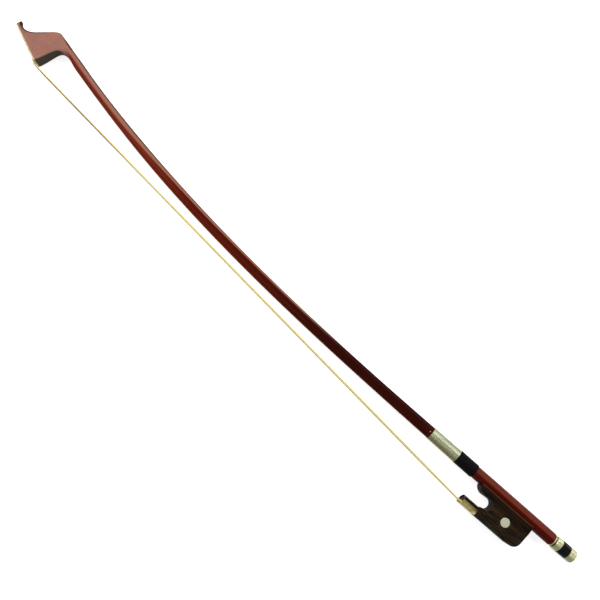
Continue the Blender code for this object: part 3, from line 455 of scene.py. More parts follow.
class Tone:
    """A number in a material's node tree that takes part in arithmetic."""

    def __init__(self, tree: bpy.types.NodeTree, socket: bpy.types.NodeSocket) -> None:
        """Keep the tree and the socket that carries the number."""
        self.tree = tree
        self.socket = socket

    def apply(self, operation: str, *operands: Number) -> "Tone":
        """Add one Math node.

        Args:
            operation: Name of the node's operation.
            *operands: Numbers or tones, in the node's order.

        Returns:
            The result.
        """
        node = self.tree.nodes.new("ShaderNodeMath")
        node.operation = operation
        for socket, operand in zip(node.inputs, operands):
            if isinstance(operand, Tone):
                self.tree.links.new(operand.socket, socket)
            else:
                socket.default_value = float(operand)
        return Tone(self.tree, node.outputs[0])

    def __add__(self, other: Number) -> "Tone":
        """Sum."""
        return self.apply("ADD", self, other)

    def __radd__(self, other: Number) -> "Tone":
        """Sum with a plain number first."""
        return self.apply("ADD", other, self)

    def __sub__(self, other: Number) -> "Tone":
        """Difference."""
        return self.apply("SUBTRACT", self, other)

    def __rsub__(self, other: Number) -> "Tone":
        """Difference from a plain number."""
        return self.apply("SUBTRACT", other, self)

    def __mul__(self, other: Number) -> "Tone":
        """Product."""
        return self.apply("MULTIPLY", self, other)

    def __rmul__(self, other: Number) -> "Tone":
        """Product with a plain number first."""
        return self.apply("MULTIPLY", other, self)

    def __truediv__(self, other: Number) -> "Tone":
        """Quotient."""
        return self.apply("DIVIDE", self, other)

    def __abs__(self) -> "Tone":
        """Size without its sign."""
        return self.apply("ABSOLUTE", self)

    def sine(self) -> "Tone":
        """Sine of the tone."""
        return self.apply("SINE", self)

    def span(self, low: float, high: float) -> "Tone":
        """Ease from 0 at low to 1 at high.

        Args:
            low: Value at which the result is 0.
            high: Value at which the result is 1.

        Returns:
            The eased share.
        """
        node = self.tree.nodes.new("ShaderNodeMapRange")
        node.interpolation_type = "SMOOTHSTEP"
        node.inputs["From Min"].default_value = low
        node.inputs["From Max"].default_value = high
        self.tree.links.new(self.socket, node.inputs["Value"])
        return Tone(self.tree, node.outputs["Result"])


class Recipe:
    """Builds one material out of nodes."""

    def __init__(self, name: str) -> None:
        """Start a material that holds one Principled shader.

        Args:
            name: Name of the material.
        """
        self.material = bpy.data.materials.new(name)
        self.material.use_nodes = True
        self.tree = self.material.node_tree
        self.shader = self.tree.nodes["Principled BSDF"]

    def node(self, kind: str, settings: Mapping[str, object] | None = None,
             inputs: Mapping[str, object] | None = None) -> bpy.types.Node:
        """Add a node, set it up and fill its sockets.

        Args:
            kind: The node's type.
            settings: Attributes that are set first; stops holds a ramp's stops.
            inputs: Values, tones or sockets by socket name.

        Returns:
            The node.
        """
        node = self.tree.nodes.new(kind)
        for key, value in (settings or {}).items():
            if key == "stops":
                self._stops(node.color_ramp, value)
            else:
                setattr(node, key, value)
        for key, value in (inputs or {}).items():
            self.feed(node.inputs[key], value)
        return node

    def feed(self, socket: bpy.types.NodeSocket, value: object) -> None:
        """Link or set one socket.

        Args:
            socket: Socket that takes the value.
            value: A tone, a socket, a number, a colour or a vector.
        """
        if isinstance(value, (Tone, bpy.types.NodeSocket)):
            self.tree.links.new(getattr(value, "socket", value), socket)
        elif socket.type == "RGBA" and not isinstance(value, (int, float)):
            socket.default_value = (*tuple(value)[:3], 1.0)
        else:
            socket.default_value = value

    @staticmethod
    def _stops(ramp: bpy.types.ColorRamp, stops: Sequence[tuple[float, Colour]]) -> None:
        """Write a ramp's stops.

        Args:
            ramp: The ramp.
            stops: Places and colours in order.
        """
        while len(ramp.elements) > 1:
            ramp.elements.remove(ramp.elements[-1])
        ramp.elements[0].position = stops[0][0]
        ramp.elements[0].color = (*stops[0][1], 1.0)
        for place, colour in stops[1:]:
            ramp.elements.new(place).color = (*colour, 1.0)

    def coords(self, attribute: str | None = None) -> bpy.types.NodeSocket:
        """Coordinates fixed to the piece.

        Args:
            attribute: Name of a mesh attribute, or None for the object's own.

        Returns:
            The vector socket.
        """
        if attribute:
            return self.node("ShaderNodeAttribute", {"attribute_name": attribute}).outputs["Vector"]
        return self.node("ShaderNodeTexCoord").outputs["Object"]

    def mark(self, name: str) -> Tone:
        """A number stored on the mesh."""
        return Tone(self.tree, self.node("ShaderNodeAttribute", {"attribute_name": name}).outputs["Fac"])

    def scaled(self, vector: bpy.types.NodeSocket, scale: Sequence[float]) -> bpy.types.NodeSocket:
        """Stretch a vector.

        Args:
            vector: The vector socket.
            scale: Factor for each direction.

        Returns:
            The stretched vector.
        """
        node = self.node("ShaderNodeVectorMath", {"operation": "MULTIPLY"})
        self.feed(node.inputs[0], vector)
        node.inputs[1].default_value = scale
        return node.outputs[0]

    def part(self, vector: bpy.types.NodeSocket, axis: str) -> Tone:
        """One component of a vector."""
        node = self.node("ShaderNodeSeparateXYZ", None, {"Vector": vector})
        return Tone(self.tree, node.outputs[axis])

    def noise(self, vector: bpy.types.NodeSocket, scale: Sequence[float], detail: float = 3.0,
              rough: float = 0.55, warp: float = 0.0) -> Tone:
        """Cloudy noise between 0 and 1.

        Args:
            vector: Coordinates.
            scale: Frequency along each direction, per metre.
            detail: Number of finer layers.
            rough: Strength of the finer layers.
            warp: Distortion.

        Returns:
            The noise.
        """
        node = self.node("ShaderNodeTexNoise", None, {
            "Vector": self.scaled(vector, scale), "Scale": 1.0, "Detail": detail,
            "Roughness": rough, "Distortion": warp,
        })
        return Tone(self.tree, node.outputs["Fac"])

    def ramp(self, tone: Tone, stops: Sequence[tuple[float, Colour]]) -> bpy.types.NodeSocket:
        """Colour a tone with a ramp."""
        return self.node("ShaderNodeValToRGB", {"stops": stops}, {"Fac": tone}).outputs["Color"]

    def mix(self, share: Number, first: object, second: object) -> bpy.types.NodeSocket:
        """Mix two colours.

        Args:
            share: Share of the second colour.
            first: First colour or socket.
            second: Second colour or socket.

        Returns:
            The mixed colour.
        """
        node = self.node("ShaderNodeMix", {"data_type": "RGBA"})
        self.feed(node.inputs[0], share)
        self.feed(node.inputs[6], first)
        self.feed(node.inputs[7], second)
        return node.outputs[2]

    def bump(self, height: Tone, depth: float, strength: float = 1.0) -> bpy.types.NodeSocket:
        """Turn a height from 0 to 1 into a surface normal.

        Args:
            height: The height.
            depth: Full depth in metres.
            strength: Strength of the effect.

        Returns:
            The normal.
        """
        node = self.node("ShaderNodeBump", None, {
            "Height": height, "Distance": depth, "Strength": strength,
        })
        return node.outputs["Normal"]

    def finish(self, **sockets: object) -> bpy.types.Material:
        """Fill the shader and hand the material over.

        Args:
            **sockets: Values by socket name with underscores for spaces.

        Returns:
            The material.
        """
        for key, value in sockets.items():
            self.feed(self.shader.inputs[key.replace("_", " ")], value)
        return self.material


@dataclass(frozen=True)
class StickWood:
    """Varnished red-brown hardwood, with painted light: tones painted paler towards the head for the varnish's sheen,
    a painted highlight along the shaft, and painted shade on its back and edges.

    Pairs of numbers are places along the drawing in metres, where one tone turns to the next.
    """

    # rear, middle, front and head grow paler towards the head: painted light standing in for the varnish's sheen
    rear: tuple = (srgb(36, 6, 3), srgb(56, 13, 7), srgb(76, 27, 17))
    middle: tuple = (srgb(84, 16, 6), srgb(106, 28, 12), srgb(124, 44, 26))
    front: tuple = (srgb(104, 25, 12), srgb(124, 38, 22), srgb(142, 56, 38))
    head: tuple = (srgb(160, 108, 93), srgb(174, 119, 103), srgb(184, 130, 113))
    handle: tuple = (srgb(72, 14, 8), srgb(96, 23, 13), srgb(118, 42, 28))
    # back: the dark of the pores and the figure, and painted shade on the back facets, the rim and the beak's line
    back: Colour = srgb(48, 8, 4)
    # throat: a painted grey reflection in the head's throat
    throat: Colour = srgb(88, 88, 86)
    # painted highlight: the pale band that the varnish's sheen would leave along the shaft
    painted_highlight: Colour = srgb(176, 124, 100)
    heartwood: Colour = srgb(150, 112, 100)
    # painted light on the handle's upper facets
    painted_facet_light: Colour = srgb(134, 64, 46)
    # under: painted light on the hair side of the shaft
    under: tuple = (srgb(94, 32, 20), srgb(142, 48, 24), srgb(158, 66, 46))
    to_handle: tuple = (-0.160, -0.110)
    to_middle: tuple = (-0.240, -0.430)
    to_front: tuple = (-0.430, -0.560)
    to_head: tuple = (-0.624, -0.638)
    past_lapping: tuple = (-0.140, -0.160)
    to_rear_wood: tuple = (-0.310, -0.245)
    beak: tuple = (-0.656, -0.667)

    def make(self) -> bpy.types.Material:
        """Build the material; it reads the marks that the stick stores on its mesh.

        Returns:
            The material.
        """
        mat = Recipe("stick_varnished_wood")
        grain = mat.coords("grain")
        streak = mat.noise(grain, (14.0, 700.0, 700.0), 4.0, 0.6, 0.4)
        band = mat.noise(grain, (5.0, 150.0, 150.0), 2.0, 0.5, 0.3)
        pore = mat.noise(grain, (160.0, 3600.0, 3600.0), 1.0, 0.4)
        figure = mat.noise(grain, (70.0, 40.0, 40.0), 2.0, 0.5, 0.6)
        shade = streak * 0.55 + band * 0.45
        rear, middle, front, head, handle = (
            mat.ramp(shade, ((0.30, dark), (0.50, body), (0.72, light)))
            for dark, body, light in (self.rear, self.middle, self.front, self.head, self.handle)
        )
        along, up = mat.part(grain, "X"), mat.part(grain, "Y") * (1.0 / MM)
        # Painted light: the wood's tones turn paler from the rear towards the head.
        colour = mat.mix(along.span(*self.to_middle), rear, middle)
        colour = mat.mix(along.span(*self.to_front), colour, front)
        colour = mat.mix(along.span(*self.to_handle), colour, handle)
        colour = self._lower_side(mat, colour, along, up, streak)
        colour = self._facets(mat, colour, along, figure)
        colour = self._paint_highlight(mat, colour, along, up, streak, head)
        colour = self._head(mat, colour, along, streak, mat.mix(
            figure.span(0.35, 0.70) * 0.45, head, self.heartwood))
        pores = pore.span(0.62, 0.74)
        colour = mat.mix(pores * 0.35, colour, self.back)
        height = 1.0 - pores * 0.8 + streak * 0.25
        return mat.finish(
            Base_Color=colour, Roughness=0.30 + band * 0.14, Specular_IOR_Level=0.025,
            Normal=mat.bump(height, 0.00004, 0.6),
        )

    def _lower_side(self, mat: Recipe, colour: object, along: Tone, up: Tone,
                    streak: Tone) -> bpy.types.NodeSocket:
        """Paint light on the hair side and painted shade on the line between two facets.

        Args:
            mat: The recipe.
            colour: The wood so far.
            along: Place along the stick in metres.
            up: Height above the centre line in millimetres.
            streak: The fine streaks.

        Returns:
            The colour.
        """
        # Painted light: the hair side of the shaft is paler.
        lit = mat.mix(along.span(*self.to_middle), self.under[0], self.under[1])
        lit = mat.mix(along.span(*self.to_front), lit, self.under[2])
        low = (1.0 - up.span(-5.5, -0.5)) * along.span(*self.past_lapping)
        colour = mat.mix(low * (0.45 + streak * 0.35), colour, lit)
        # Painted shade: a dark line between two facets.
        facet_line_shade = (1.0 - abs(up - 0.5).span(0.9, 2.6)) * along.span(-0.150, -0.180)
        return mat.mix(facet_line_shade * along.span(-0.520, -0.440) * 0.38, colour, self.back)

    def _facets(self, mat: Recipe, colour: object, along: Tone, figure: Tone) -> bpy.types.NodeSocket:
        """Paint light on the handle's upper facets, darken with the wood's figure and paint shade on the back.

        Args:
            mat: The recipe.
            colour: The wood so far.
            along: Place along the stick in metres.
            figure: The broad figure of the wood.

        Returns:
            The colour.
        """
        # Painted light: the handle's upper facets, picked out by the crown mark, are paler.
        crown = mat.mark("crown") * along.span(-0.120, -0.080)
        colour = mat.mix(crown * 0.72, colour, self.painted_facet_light)
        colour = mat.mix(figure.span(0.40, 0.75) * 0.15, colour, self.back)
        # Painted shade on the back facets towards the head.
        return mat.mix(mat.mark("back") * along.span(-0.450, -0.530) * 0.85, colour, self.back)

    def _paint_highlight(self, mat: Recipe, colour: object, along: Tone, up: Tone, streak: Tone,
               head: object) -> bpy.types.NodeSocket:
        """Lay the painted highlight along the shaft and the painted shade of a dark rim above it.

        Args:
            mat: The recipe.
            colour: The wood so far.
            along: Place along the stick in metres.
            up: Height above the centre line in millimetres.
            streak: The fine streaks.
            head: The head's wood.

        Returns:
            The colour.
        """
        # Painted highlight: a pale band that moves from the middle of the side towards its upper edge.
        middle, rear = along.span(-0.560, -0.440), along.span(-0.440, -0.360)
        centre = middle * 1.6 + rear * 0.7 + 1.6
        width = 2.3 - middle * 1.05 - rear * 0.3
        painted_highlight = 1.0 - (abs(up - centre) / width).span(0.35, 1.25)
        painted_highlight = painted_highlight * (1.0 - along.span(*self.to_rear_wood)) * (0.62 + streak * 0.5)
        colour = mat.mix(painted_highlight, colour, mat.mix(along.span(-0.500, -0.600), self.painted_highlight, head))
        # Painted shade: a dark rim along the upper edge of the shaft.
        rim = up.span(4.7, 5.5) * (1.0 - along.span(-0.300, -0.245)) * along.span(-0.624, -0.600)
        return mat.mix(rim * 0.6, colour, self.back)

    def _head(self, mat: Recipe, colour: object, along: Tone, streak: Tone,
              head: object) -> bpy.types.NodeSocket:
        """Turn to the head's wood, with painted shade on its back and along the beak's line and a painted grey
        reflection in the throat.

        Args:
            mat: The recipe.
            colour: The wood so far.
            along: Place along the stick in metres.
            streak: The fine streaks.
            head: The head's wood.

        Returns:
            The colour.
        """
        at_head = along.span(*self.to_head)
        # Painted light: the head takes the palest tones, for the varnish's sheen.
        colour = mat.mix(at_head, colour, head)
        # Painted shade on the head's back.
        colour = mat.mix(at_head * mat.mark("back") * 0.9, colour, self.back)
        # Painted shade: a dark line along the beak's hollow back.
        line = (1.0 - mat.mark("hollow").span(0.9, 2.6)) * along.span(*self.beak)
        colour = mat.mix(line * 0.85, colour, self.back)
        # Painted reflection: the throat turns grey.
        return mat.mix(mat.mark("throat") * (0.85 + streak * 0.2), colour, self.throat)


@dataclass(frozen=True)
class Ebony:
    """Dark close wood with brown streaks."""

    name: str
    black: Colour = srgb(22, 16, 11)
    brown: Colour = srgb(58, 41, 27)
    red: Colour = srgb(88, 48, 29)
    streaks: float = 1.0
    rough: float = 0.40
    shine: float = 0.012
    low_pale: Colour = srgb(62, 51, 38)
    axis: Vector | None = None

    def make(self) -> bpy.types.Material:
        """Build the material.

        Returns:
            The material.
        """
        mat = Recipe(self.name)
        place = mat.coords()
        wide = mat.noise(place, (26.0, 120.0, 120.0), 3.0, 0.55, 1.2)
        fine = mat.noise(place, (60.0, 900.0, 900.0), 3.0, 0.6, 0.3)
        pore = mat.noise(place, (300.0, 3600.0, 3600.0), 1.0, 0.4)
        colour = mat.mix(wide.span(0.42, 0.66) * self.streaks, self.black, self.brown)
        # With an axis the wood is paler towards the bottom and darker towards the top.
        if self.axis:
            across = mat.part(place, "Y") - self.axis.y
            low = 1.0 - across.span(-0.0200, -0.0080)
            colour = mat.mix(low * fine.span(0.34, 0.66) * 0.9, colour, self.low_pale)
        colour = mat.mix(wide.span(0.56, 0.72) * fine.span(0.40, 0.62) * self.streaks,
                         colour, self.red)
        if self.axis:
            colour = mat.mix(across.span(-0.0125, -0.0085) * 0.75, colour, self.black)
        pores = pore.span(0.60, 0.72)
        colour = mat.mix(pores * 0.5, colour, self.black)
        return mat.finish(
            Base_Color=colour, Roughness=self.rough + fine * 0.12, Specular_IOR_Level=self.shine,
            Normal=mat.bump(1.0 - pores * 0.7 + fine * 0.2, 0.00003, 0.6),
        )


@dataclass(frozen=True)
class Metal:
    """Polished metal with handling marks, a thin tarnish, painted shade on one side and painted dark lines at its
    arrises.
    """

    name: str
    clean: Colour
    warm: Colour
    # tarnish_and_shade: colour of the tarnish patches and of the painted shade at the arrises
    tarnish_and_shade: Colour
    # painted shade: the darker colour of one side across the bow
    painted_shade: Colour | None = None
    axis: Vector | None = None
    turn: float = 0.0
    rough: float = 0.2
    stain: float = 0.6
    brushed: float = 0.4
    fade: tuple = (-0.0030, 0.0022)
    # arris_shade: strength of painted dark lines at the facets' arrises
    arris_shade: float = 0.45
    # painted_glint: colour of a painted highlight at the lower rear
    painted_glint: Colour | None = None

    def make(self) -> bpy.types.Material:
        """Build the material; a metal with an axis takes painted shade on one side across the bow and painted dark
        lines at its arrises, and may take a painted highlight at its lower rear.

        Returns:
            The material.
        """
        mat = Recipe(self.name)
        place = mat.coords()
        cloud = mat.noise(place, (120.0, 160.0, 160.0), 3.0, 0.6, 0.8)
        patch = mat.noise(place, (260.0, 340.0, 340.0), 3.0, 0.6, 0.5)
        scratch = mat.noise(place, (180.0, 5200.0, 5200.0), 2.0, 0.5)
        colour = mat.mix(cloud.span(0.40, 0.65), self.clean, self.warm)
        colour = mat.mix(patch.span(0.50, 0.75) * self.stain, colour, self.tarnish_and_shade)
        if self.axis and self.painted_shade:
            across = mat.part(place, "Y") - self.axis.y
            above = mat.part(place, "Z") - self.axis.z
            # Painted shade: one side across the bow is darker; on the ferrule it is the top, as a painted dark
            # reflection.
            colour = mat.mix(1.0 - across.span(*self.fade), colour, self.painted_shade)
            # Painted highlight: a bright patch at the metal's lower rear.
            if self.painted_glint:
                rear = (mat.part(place, "X") - self.axis.x).span(-0.0738, -0.0696)
                rear = rear * (1.0 - across.span(-0.0290, -0.0262)) * patch.span(0.36, 0.52)
                colour = mat.mix(rear * 0.85, colour, self.painted_glint)
            # Painted shade: dark lines along the facets' arrises, in the tarnish colour.
            swing = across.apply("ARCTAN2", across, above) - math.radians(self.turn)
            arris_shade = (swing * 8.0 + math.pi / 2.0).sine()
            colour = mat.mix(arris_shade.span(0.55, 1.0) * self.arris_shade, colour, self.tarnish_and_shade)
        return mat.finish(
            Base_Color=colour, Metallic=1.0, Roughness=self.rough + patch * 0.16,
            Normal=mat.bump(scratch * self.brushed + patch * 0.3, 0.000012, 0.5),
        )


@dataclass(frozen=True)
class Leather:
    """Smooth black leather with fine creases."""

    colour: Colour = srgb(17, 16, 17)
    worn: Colour = srgb(34, 32, 32)

    def make(self) -> bpy.types.Material:
        """Build the material.

        Returns:
            The material.
        """
        mat = Recipe("black_leather")
        place = mat.coords()
        cells = mat.node("ShaderNodeTexVoronoi", {"feature": "DISTANCE_TO_EDGE"}, {
            "Vector": mat.scaled(place, (1500.0, 1900.0, 1900.0)), "Scale": 1.0,
        })
        pebble = Tone(mat.tree, cells.outputs["Distance"]).span(0.0, 0.35)
        wear = mat.noise(place, (160.0, 260.0, 260.0), 3.0, 0.6)
        colour = mat.mix(wear.span(0.52, 0.75) * 0.6, self.colour, self.worn)
        return mat.finish(
            Base_Color=colour, Roughness=0.42 + wear * 0.2, Specular_IOR_Level=0.03,
            Normal=mat.bump(pebble, 0.00006, 0.7),
        )


@dataclass(frozen=True)
class Horsehair:
    """Pale hair that varies from strand to strand, with painted shade on its lower strands near the head and a painted
    glow.
    """

    light: Colour = srgb(250, 240, 176)
    deep: Colour = srgb(236, 220, 138)
    brown: Colour = srgb(150, 108, 54)
    # glow: strength of the hair's painted glow, an emission though it is no lamp
    glow: float = 0.13

    def make(self) -> bpy.types.Material:
        """Build the material; it reads each strand's shade and its place in the ribbon.

        Returns:
            The material.
        """
        mat = Recipe("horsehair")
        marks = mat.coords("strand")
        strand, level, run_share = (mat.part(marks, axis) for axis in "XYZ")
        place = mat.coords()
        run = mat.noise(place, (24.0, 400.0, 400.0), 2.0, 0.5)
        colour = mat.mix(strand.span(0.30, 0.85), self.light, self.deep)
        # Painted shade: the lower strands near the head turn brown.
        under = (1.0 - level.span(-0.35, 0.15)) * (1.0 - run_share.span(0.12, 0.30))
        colour = mat.mix(under * 0.85, colour, self.brown)
        colour = mat.mix(strand.span(0.92, 0.98) * 0.6, colour, self.brown)
        colour = mat.mix(run.span(0.55, 0.80) * 0.4, colour, self.deep)
        # Painted light: a small emission makes the hair glow, though it is no lamp.
        return mat.finish(
            Base_Color=colour, Roughness=0.42 + run * 0.1, Specular_IOR_Level=0.4,
            Emission_Color=colour, Emission_Strength=self.glow,
        )


@dataclass(frozen=True)
class Pearl:
    """Mother of pearl with soft green and pink waves."""

    ground: Colour = srgb(232, 228, 204)
    green: Colour = srgb(190, 196, 164)
    pink: Colour = srgb(214, 198, 160)

    def make(self) -> bpy.types.Material:
        """Build the material.

        Returns:
            The material.
        """
        mat = Recipe("mother_of_pearl")
        place = mat.coords()
        wave = mat.noise(place, (420.0, 520.0, 420.0), 3.0, 0.6, 2.5)
        flake = mat.noise(place, (900.0, 700.0, 900.0), 2.0, 0.5, 1.5)
        colour = mat.mix(wave.span(0.42, 0.60), self.ground, self.green)
        colour = mat.mix(flake.span(0.50, 0.68) * 0.8, colour, self.pink)
        return mat.finish(
            Base_Color=colour, Roughness=0.16 + wave * 0.12, Coat_Weight=0.4,
            Normal=mat.bump(wave, 0.00003, 0.3),
        )


@dataclass(frozen=True)
class Streaked:
    """Pale stuff with fine lines that run one way, such as bone or bare wood."""

    name: str
    light: Colour
    dark: Colour
    scale: tuple
    lines: tuple
    rough: float
    spread: float
    depth: float
    strength: float
    warp: float

    def make(self) -> bpy.types.Material:
        """Build the material.

        Returns:
            The material.
        """
        mat = Recipe(self.name)
        grain = mat.noise(mat.coords(), self.scale, 3.0, 0.6, self.warp)
        colour = mat.mix(grain.span(*self.lines), self.light, self.dark)
        return mat.finish(Base_Color=colour, Roughness=self.rough + grain * self.spread,
                          Normal=mat.bump(grain, self.depth, self.strength))


@dataclass(frozen=True)
class Thread:
    """Waxed thread wound round the hair ends."""

    colour: Colour = srgb(120, 60, 36)
    shade: Colour = srgb(66, 30, 20)

    def make(self) -> bpy.types.Material:
        """Build the material.

        Returns:
            The material.
        """
        mat = Recipe("waxed_thread")
        place = mat.coords()
        turns = (mat.part(place, "Z") * (math.tau / 0.00045)).sine() * 0.5 + 0.5
        fuzz = mat.noise(place, (1600.0, 1600.0, 1600.0), 2.0)
        colour = mat.mix(turns * 0.6 + fuzz * 0.3, self.shade, self.colour)
        return mat.finish(Base_Color=colour, Roughness=0.6 + fuzz * 0.2,
                          Normal=mat.bump(turns, 0.00012, 0.8))


class Finishes:
    """Every material, made once."""

    def __init__(self, axis: Vector, turn: float) -> None:
        """Build each material.

        Args:
            axis: The drawing's zero in the frame, from which painted shade, painted light and the frog's tones are
                measured.
            turn: Swing of the button's facets in degrees.
        """
        self.wood = StickWood().make()
        self.ebony = Ebony("frog_ebony", axis=axis).make()
        self.slide_ebony = Ebony(
            "slide_ebony", black=srgb(20, 14, 11), brown=srgb(38, 25, 18), streaks=0.7).make()
        self.button_ebony = Ebony(
            "button_ebony", black=srgb(13, 14, 13), brown=srgb(26, 25, 24),
            streaks=0.3, rough=0.30, shine=0.05).make()
        # The silver and the wire take painted shade on their hair side; the ferrule takes a painted dark reflection on
        # its top and a painted highlight at its lower rear.
        self.silver = Metal(
            "nickel_silver", srgb(214, 211, 176), srgb(196, 190, 150), srgb(132, 122, 84),
            painted_shade=srgb(134, 136, 100), axis=axis, turn=turn, rough=0.22).make()
        self.ferrule = Metal(
            "ferrule_nickel_silver", srgb(152, 142, 90), srgb(118, 98, 50),
            srgb(74, 52, 30), painted_shade=srgb(44, 38, 25), axis=axis, rough=0.26, stain=0.7,
            fade=(-0.0243, -0.0275), arris_shade=0.0, painted_glint=srgb(226, 204, 160)).make()
        self.wire = Metal(
            "lapping_wire", srgb(200, 204, 178), srgb(184, 188, 160), srgb(120, 118, 88),
            painted_shade=srgb(148, 148, 120), axis=axis, rough=0.38, stain=0.2, arris_shade=0.6).make()
        self.brass = Metal(
            "brass", srgb(96, 62, 40), srgb(80, 50, 32), srgb(58, 36, 24), rough=0.42).make()
        self.steel = Metal(
            "turned_steel", srgb(150, 150, 152), srgb(132, 130, 126), srgb(88, 78, 64),
            rough=0.30).make()
        # Tarnish and painted shade: the dark metal of the collar's groove.
        self.tarnish_and_shade = Metal(
            "tarnished_and_shaded_silver", srgb(66, 62, 44), srgb(52, 48, 34), srgb(36, 30, 20),
            rough=0.5).make()
        self.leather = Leather().make()
        self.hair = Horsehair().make()
        self.pearl = Pearl().make()
        self.bone = Streaked(
            "polished_bone", srgb(232, 220, 184), srgb(206, 182, 128), (60.0, 500.0, 900.0),
            (0.40, 0.72), rough=0.30, spread=0.12, depth=0.00002, strength=0.4, warp=0.3).make()
        self.maple = Streaked(
            "bare_maple", srgb(206, 174, 122), srgb(160, 120, 72), (900.0, 120.0, 900.0),
            (0.38, 0.66), rough=0.6, spread=0.15, depth=0.00003, strength=0.5, warp=0.5).make()
        self.thread = Thread().make()


@dataclass
class Stick:
    """The cambered octagonal stick with its head.

    A row of stations holds a place, a corner radius and the swing of the facets. A row of
    head holds the section's low point and top point, the half width of its floor, the half
    width and place of its two side corners and the half width of its back. The face turns
    its corner at heel_rows, counted with two rows of the shaft before the head's own.
    Spans named back, face or side say how far a surface turns before it is marked.
    """

    end_x: float = -2.4
    end_bevel: float = 0.35
    handle: float = 6.0
    handle_turn: float = 22.5
    lapping_end: float = -141.1
    shaft_start: float = -150.0
    bore: float = 2.1
    bore_end: float = -79.0
    edge: float = 0.75
    crisp: float = 0.30
    camber_start: float = -110.0
    camber_rise: float = 21.1
    camber_run: float = 400.0
    camber_power: float = 2.9
    shaft_end: float = -616.0
    shaft_step: float = 10.0
    head_lead: float = -606.0
    head_steps: int = 4
    heel_rows: tuple = (9, 10)
    grain_end: float = -630.0
    shaft_from: tuple = (-146.0, -160.0)
    throat_from: tuple = (-628.0, -636.0)
    throat_until: tuple = (-656.0, -650.0)
    beak_from: tuple = (-656.0, -668.0)
    shaft_back: tuple = (0.50, 0.70)
    handle_back: tuple = (0.84, 0.92)
    beak_back: tuple = (0.15, 0.40)
    throat_face: tuple = (0.05, 0.55)
    crown_face: tuple = (0.10, 0.35)
    cheek_side: tuple = (0.30, 0.60)
    beak_lean: tuple = (0.36, 0.93)
    hollow_from: float = -655.0
    crease: float = 38.0
    slot_low: tuple = (-50.0, -9.0, -2.6)
    slot_high: tuple = (-35.7, 3.6, 2.6)
    stations: tuple = (
        (-30.0, 6.0, 22.5), (-55.0, 6.0, 22.5), (-75.0, 5.96, 22.5), (-89.4, 5.9, 22.5),
        (-90.3, 6.09, 22.5), (-100.0, 6.09, 22.5), (-112.0, 6.09, 11.25), (-125.0, 6.09, 0.0),
        (-139.9, 6.09, 0.0),
    )
    shaft: tuple = ((-141.5, 5.88), (-200.0, 5.62), (-300.0, 5.50), (-400.0, 5.52), (-470.0, 5.47),
                    (-520.0, 5.20), (-570.0, 4.73), (-600.0, 4.72), (-650.0, 5.10))
    head: tuple = (
        (-626.3, 40.5, -628.6, 49.1, 2.0, 4.15, 0.27, 4.05, 0.71, 1.75),
        (-632.5, 41.4, -636.2, 51.0, 2.9, 4.25, 0.19, 3.85, 0.75, 1.75),
        (-636.8, 40.7, -643.0, 52.5, 3.8, 4.5, 0.12, 3.5, 0.79, 1.75),
        (-639.7, 38.4, -648.2, 53.7, 4.6, 5.1, 0.07, 3.4, 0.82, 1.80),
        (-641.5, 34.7, -651.3, 54.2, 5.2, 5.6, 0.05, 3.3, 0.85, 1.90),
        (-643.2, 29.6, -653.9, 53.5, 5.7, 6.1, 0.04, 3.1, 0.87, 1.90),
        (-645.0, 23.7, -657.3, 51.2, 6.2, 6.6, 0.03, 3.0, 0.89, 1.90),
        (-647.0, 18.3, -661.2, 47.5, 6.7, 7.0, 0.02, 2.9, 0.90, 1.90),
        (-647.9, 17.45, -662.5, 46.3, 6.75, 7.0, 0.015, 2.9, 0.90, 1.90),
        (-658.0, 21.33, -667.6, 41.45, 5.9, 6.1, 0.015, 2.9, 0.89, 1.95),
        (-667.0, 24.78, -671.5, 37.9, 4.95, 5.1, 0.02, 2.9, 0.87, 2.00),
        (-674.0, 27.46, -675.5, 35.4, 4.2, 4.3, 0.03, 2.9, 0.85, 2.00),
        (-679.5, 29.57, -679.2, 34.35, 3.6, 3.7, 0.05, 2.9, 0.82, 2.05),
        (-684.0, 31.30, -682.8, 34.6, 3.15, 3.3, 0.06, 2.8, 0.82, 2.10),
        (-687.4, 32.60, -685.8, 35.8, 2.85, 3.0, 0.06, 2.7, 0.84, 2.15),
        (-689.6, 33.44, -687.9, 38.0, 2.6, 2.75, 0.05, 2.6, 0.88, 2.20),
    )

    def camber(self, x: float) -> float:
        """Height of the centre line at X."""
        return self.camber_rise * (max(0.0, self.camber_start - x) / self.camber_run) ** self.camber_power

    def slope(self, x: float) -> float:
        """Lean of the centre line at X in radians."""
        return math.atan2(self.camber(x + 0.5) - self.camber(x - 0.5), 1.0)

    def radius(self, x: float) -> float:
        """Corner radius of the shaft at X.

        Args:
            x: Place along the drawing.

        Returns:
            The radius.
        """
        for (x0, r0), (x1, r1) in zip(self.shaft, self.shaft[1:]):
            if x >= x1:
                return r0 + (r1 - r0) * max(0.0, (x0 - x) / (x0 - x1))
        return self.shaft[-1][1]

    def octagon(self, x: float, radius: float, turn: float) -> list[Vector]:
        """Corners of a section square to the centre line.

        Args:
            x: Place along the drawing.
            radius: Corner radius.
            turn: Swing of the facets in degrees.

        Returns:
            Eight corners, the hair side's first.
        """
        slope = self.slope(x)
        up = Vector((-math.sin(slope), math.cos(slope), 0.0))
        side = Vector((0.0, 0.0, 1.0))
        centre = Vector((x, self.camber(x), 0.0))
        angles = [math.radians(157.5 - 45.0 * index + turn) for index in range(8)]
        return [centre + up * (radius * math.cos(a)) + side * (radius * math.sin(a)) for a in angles]

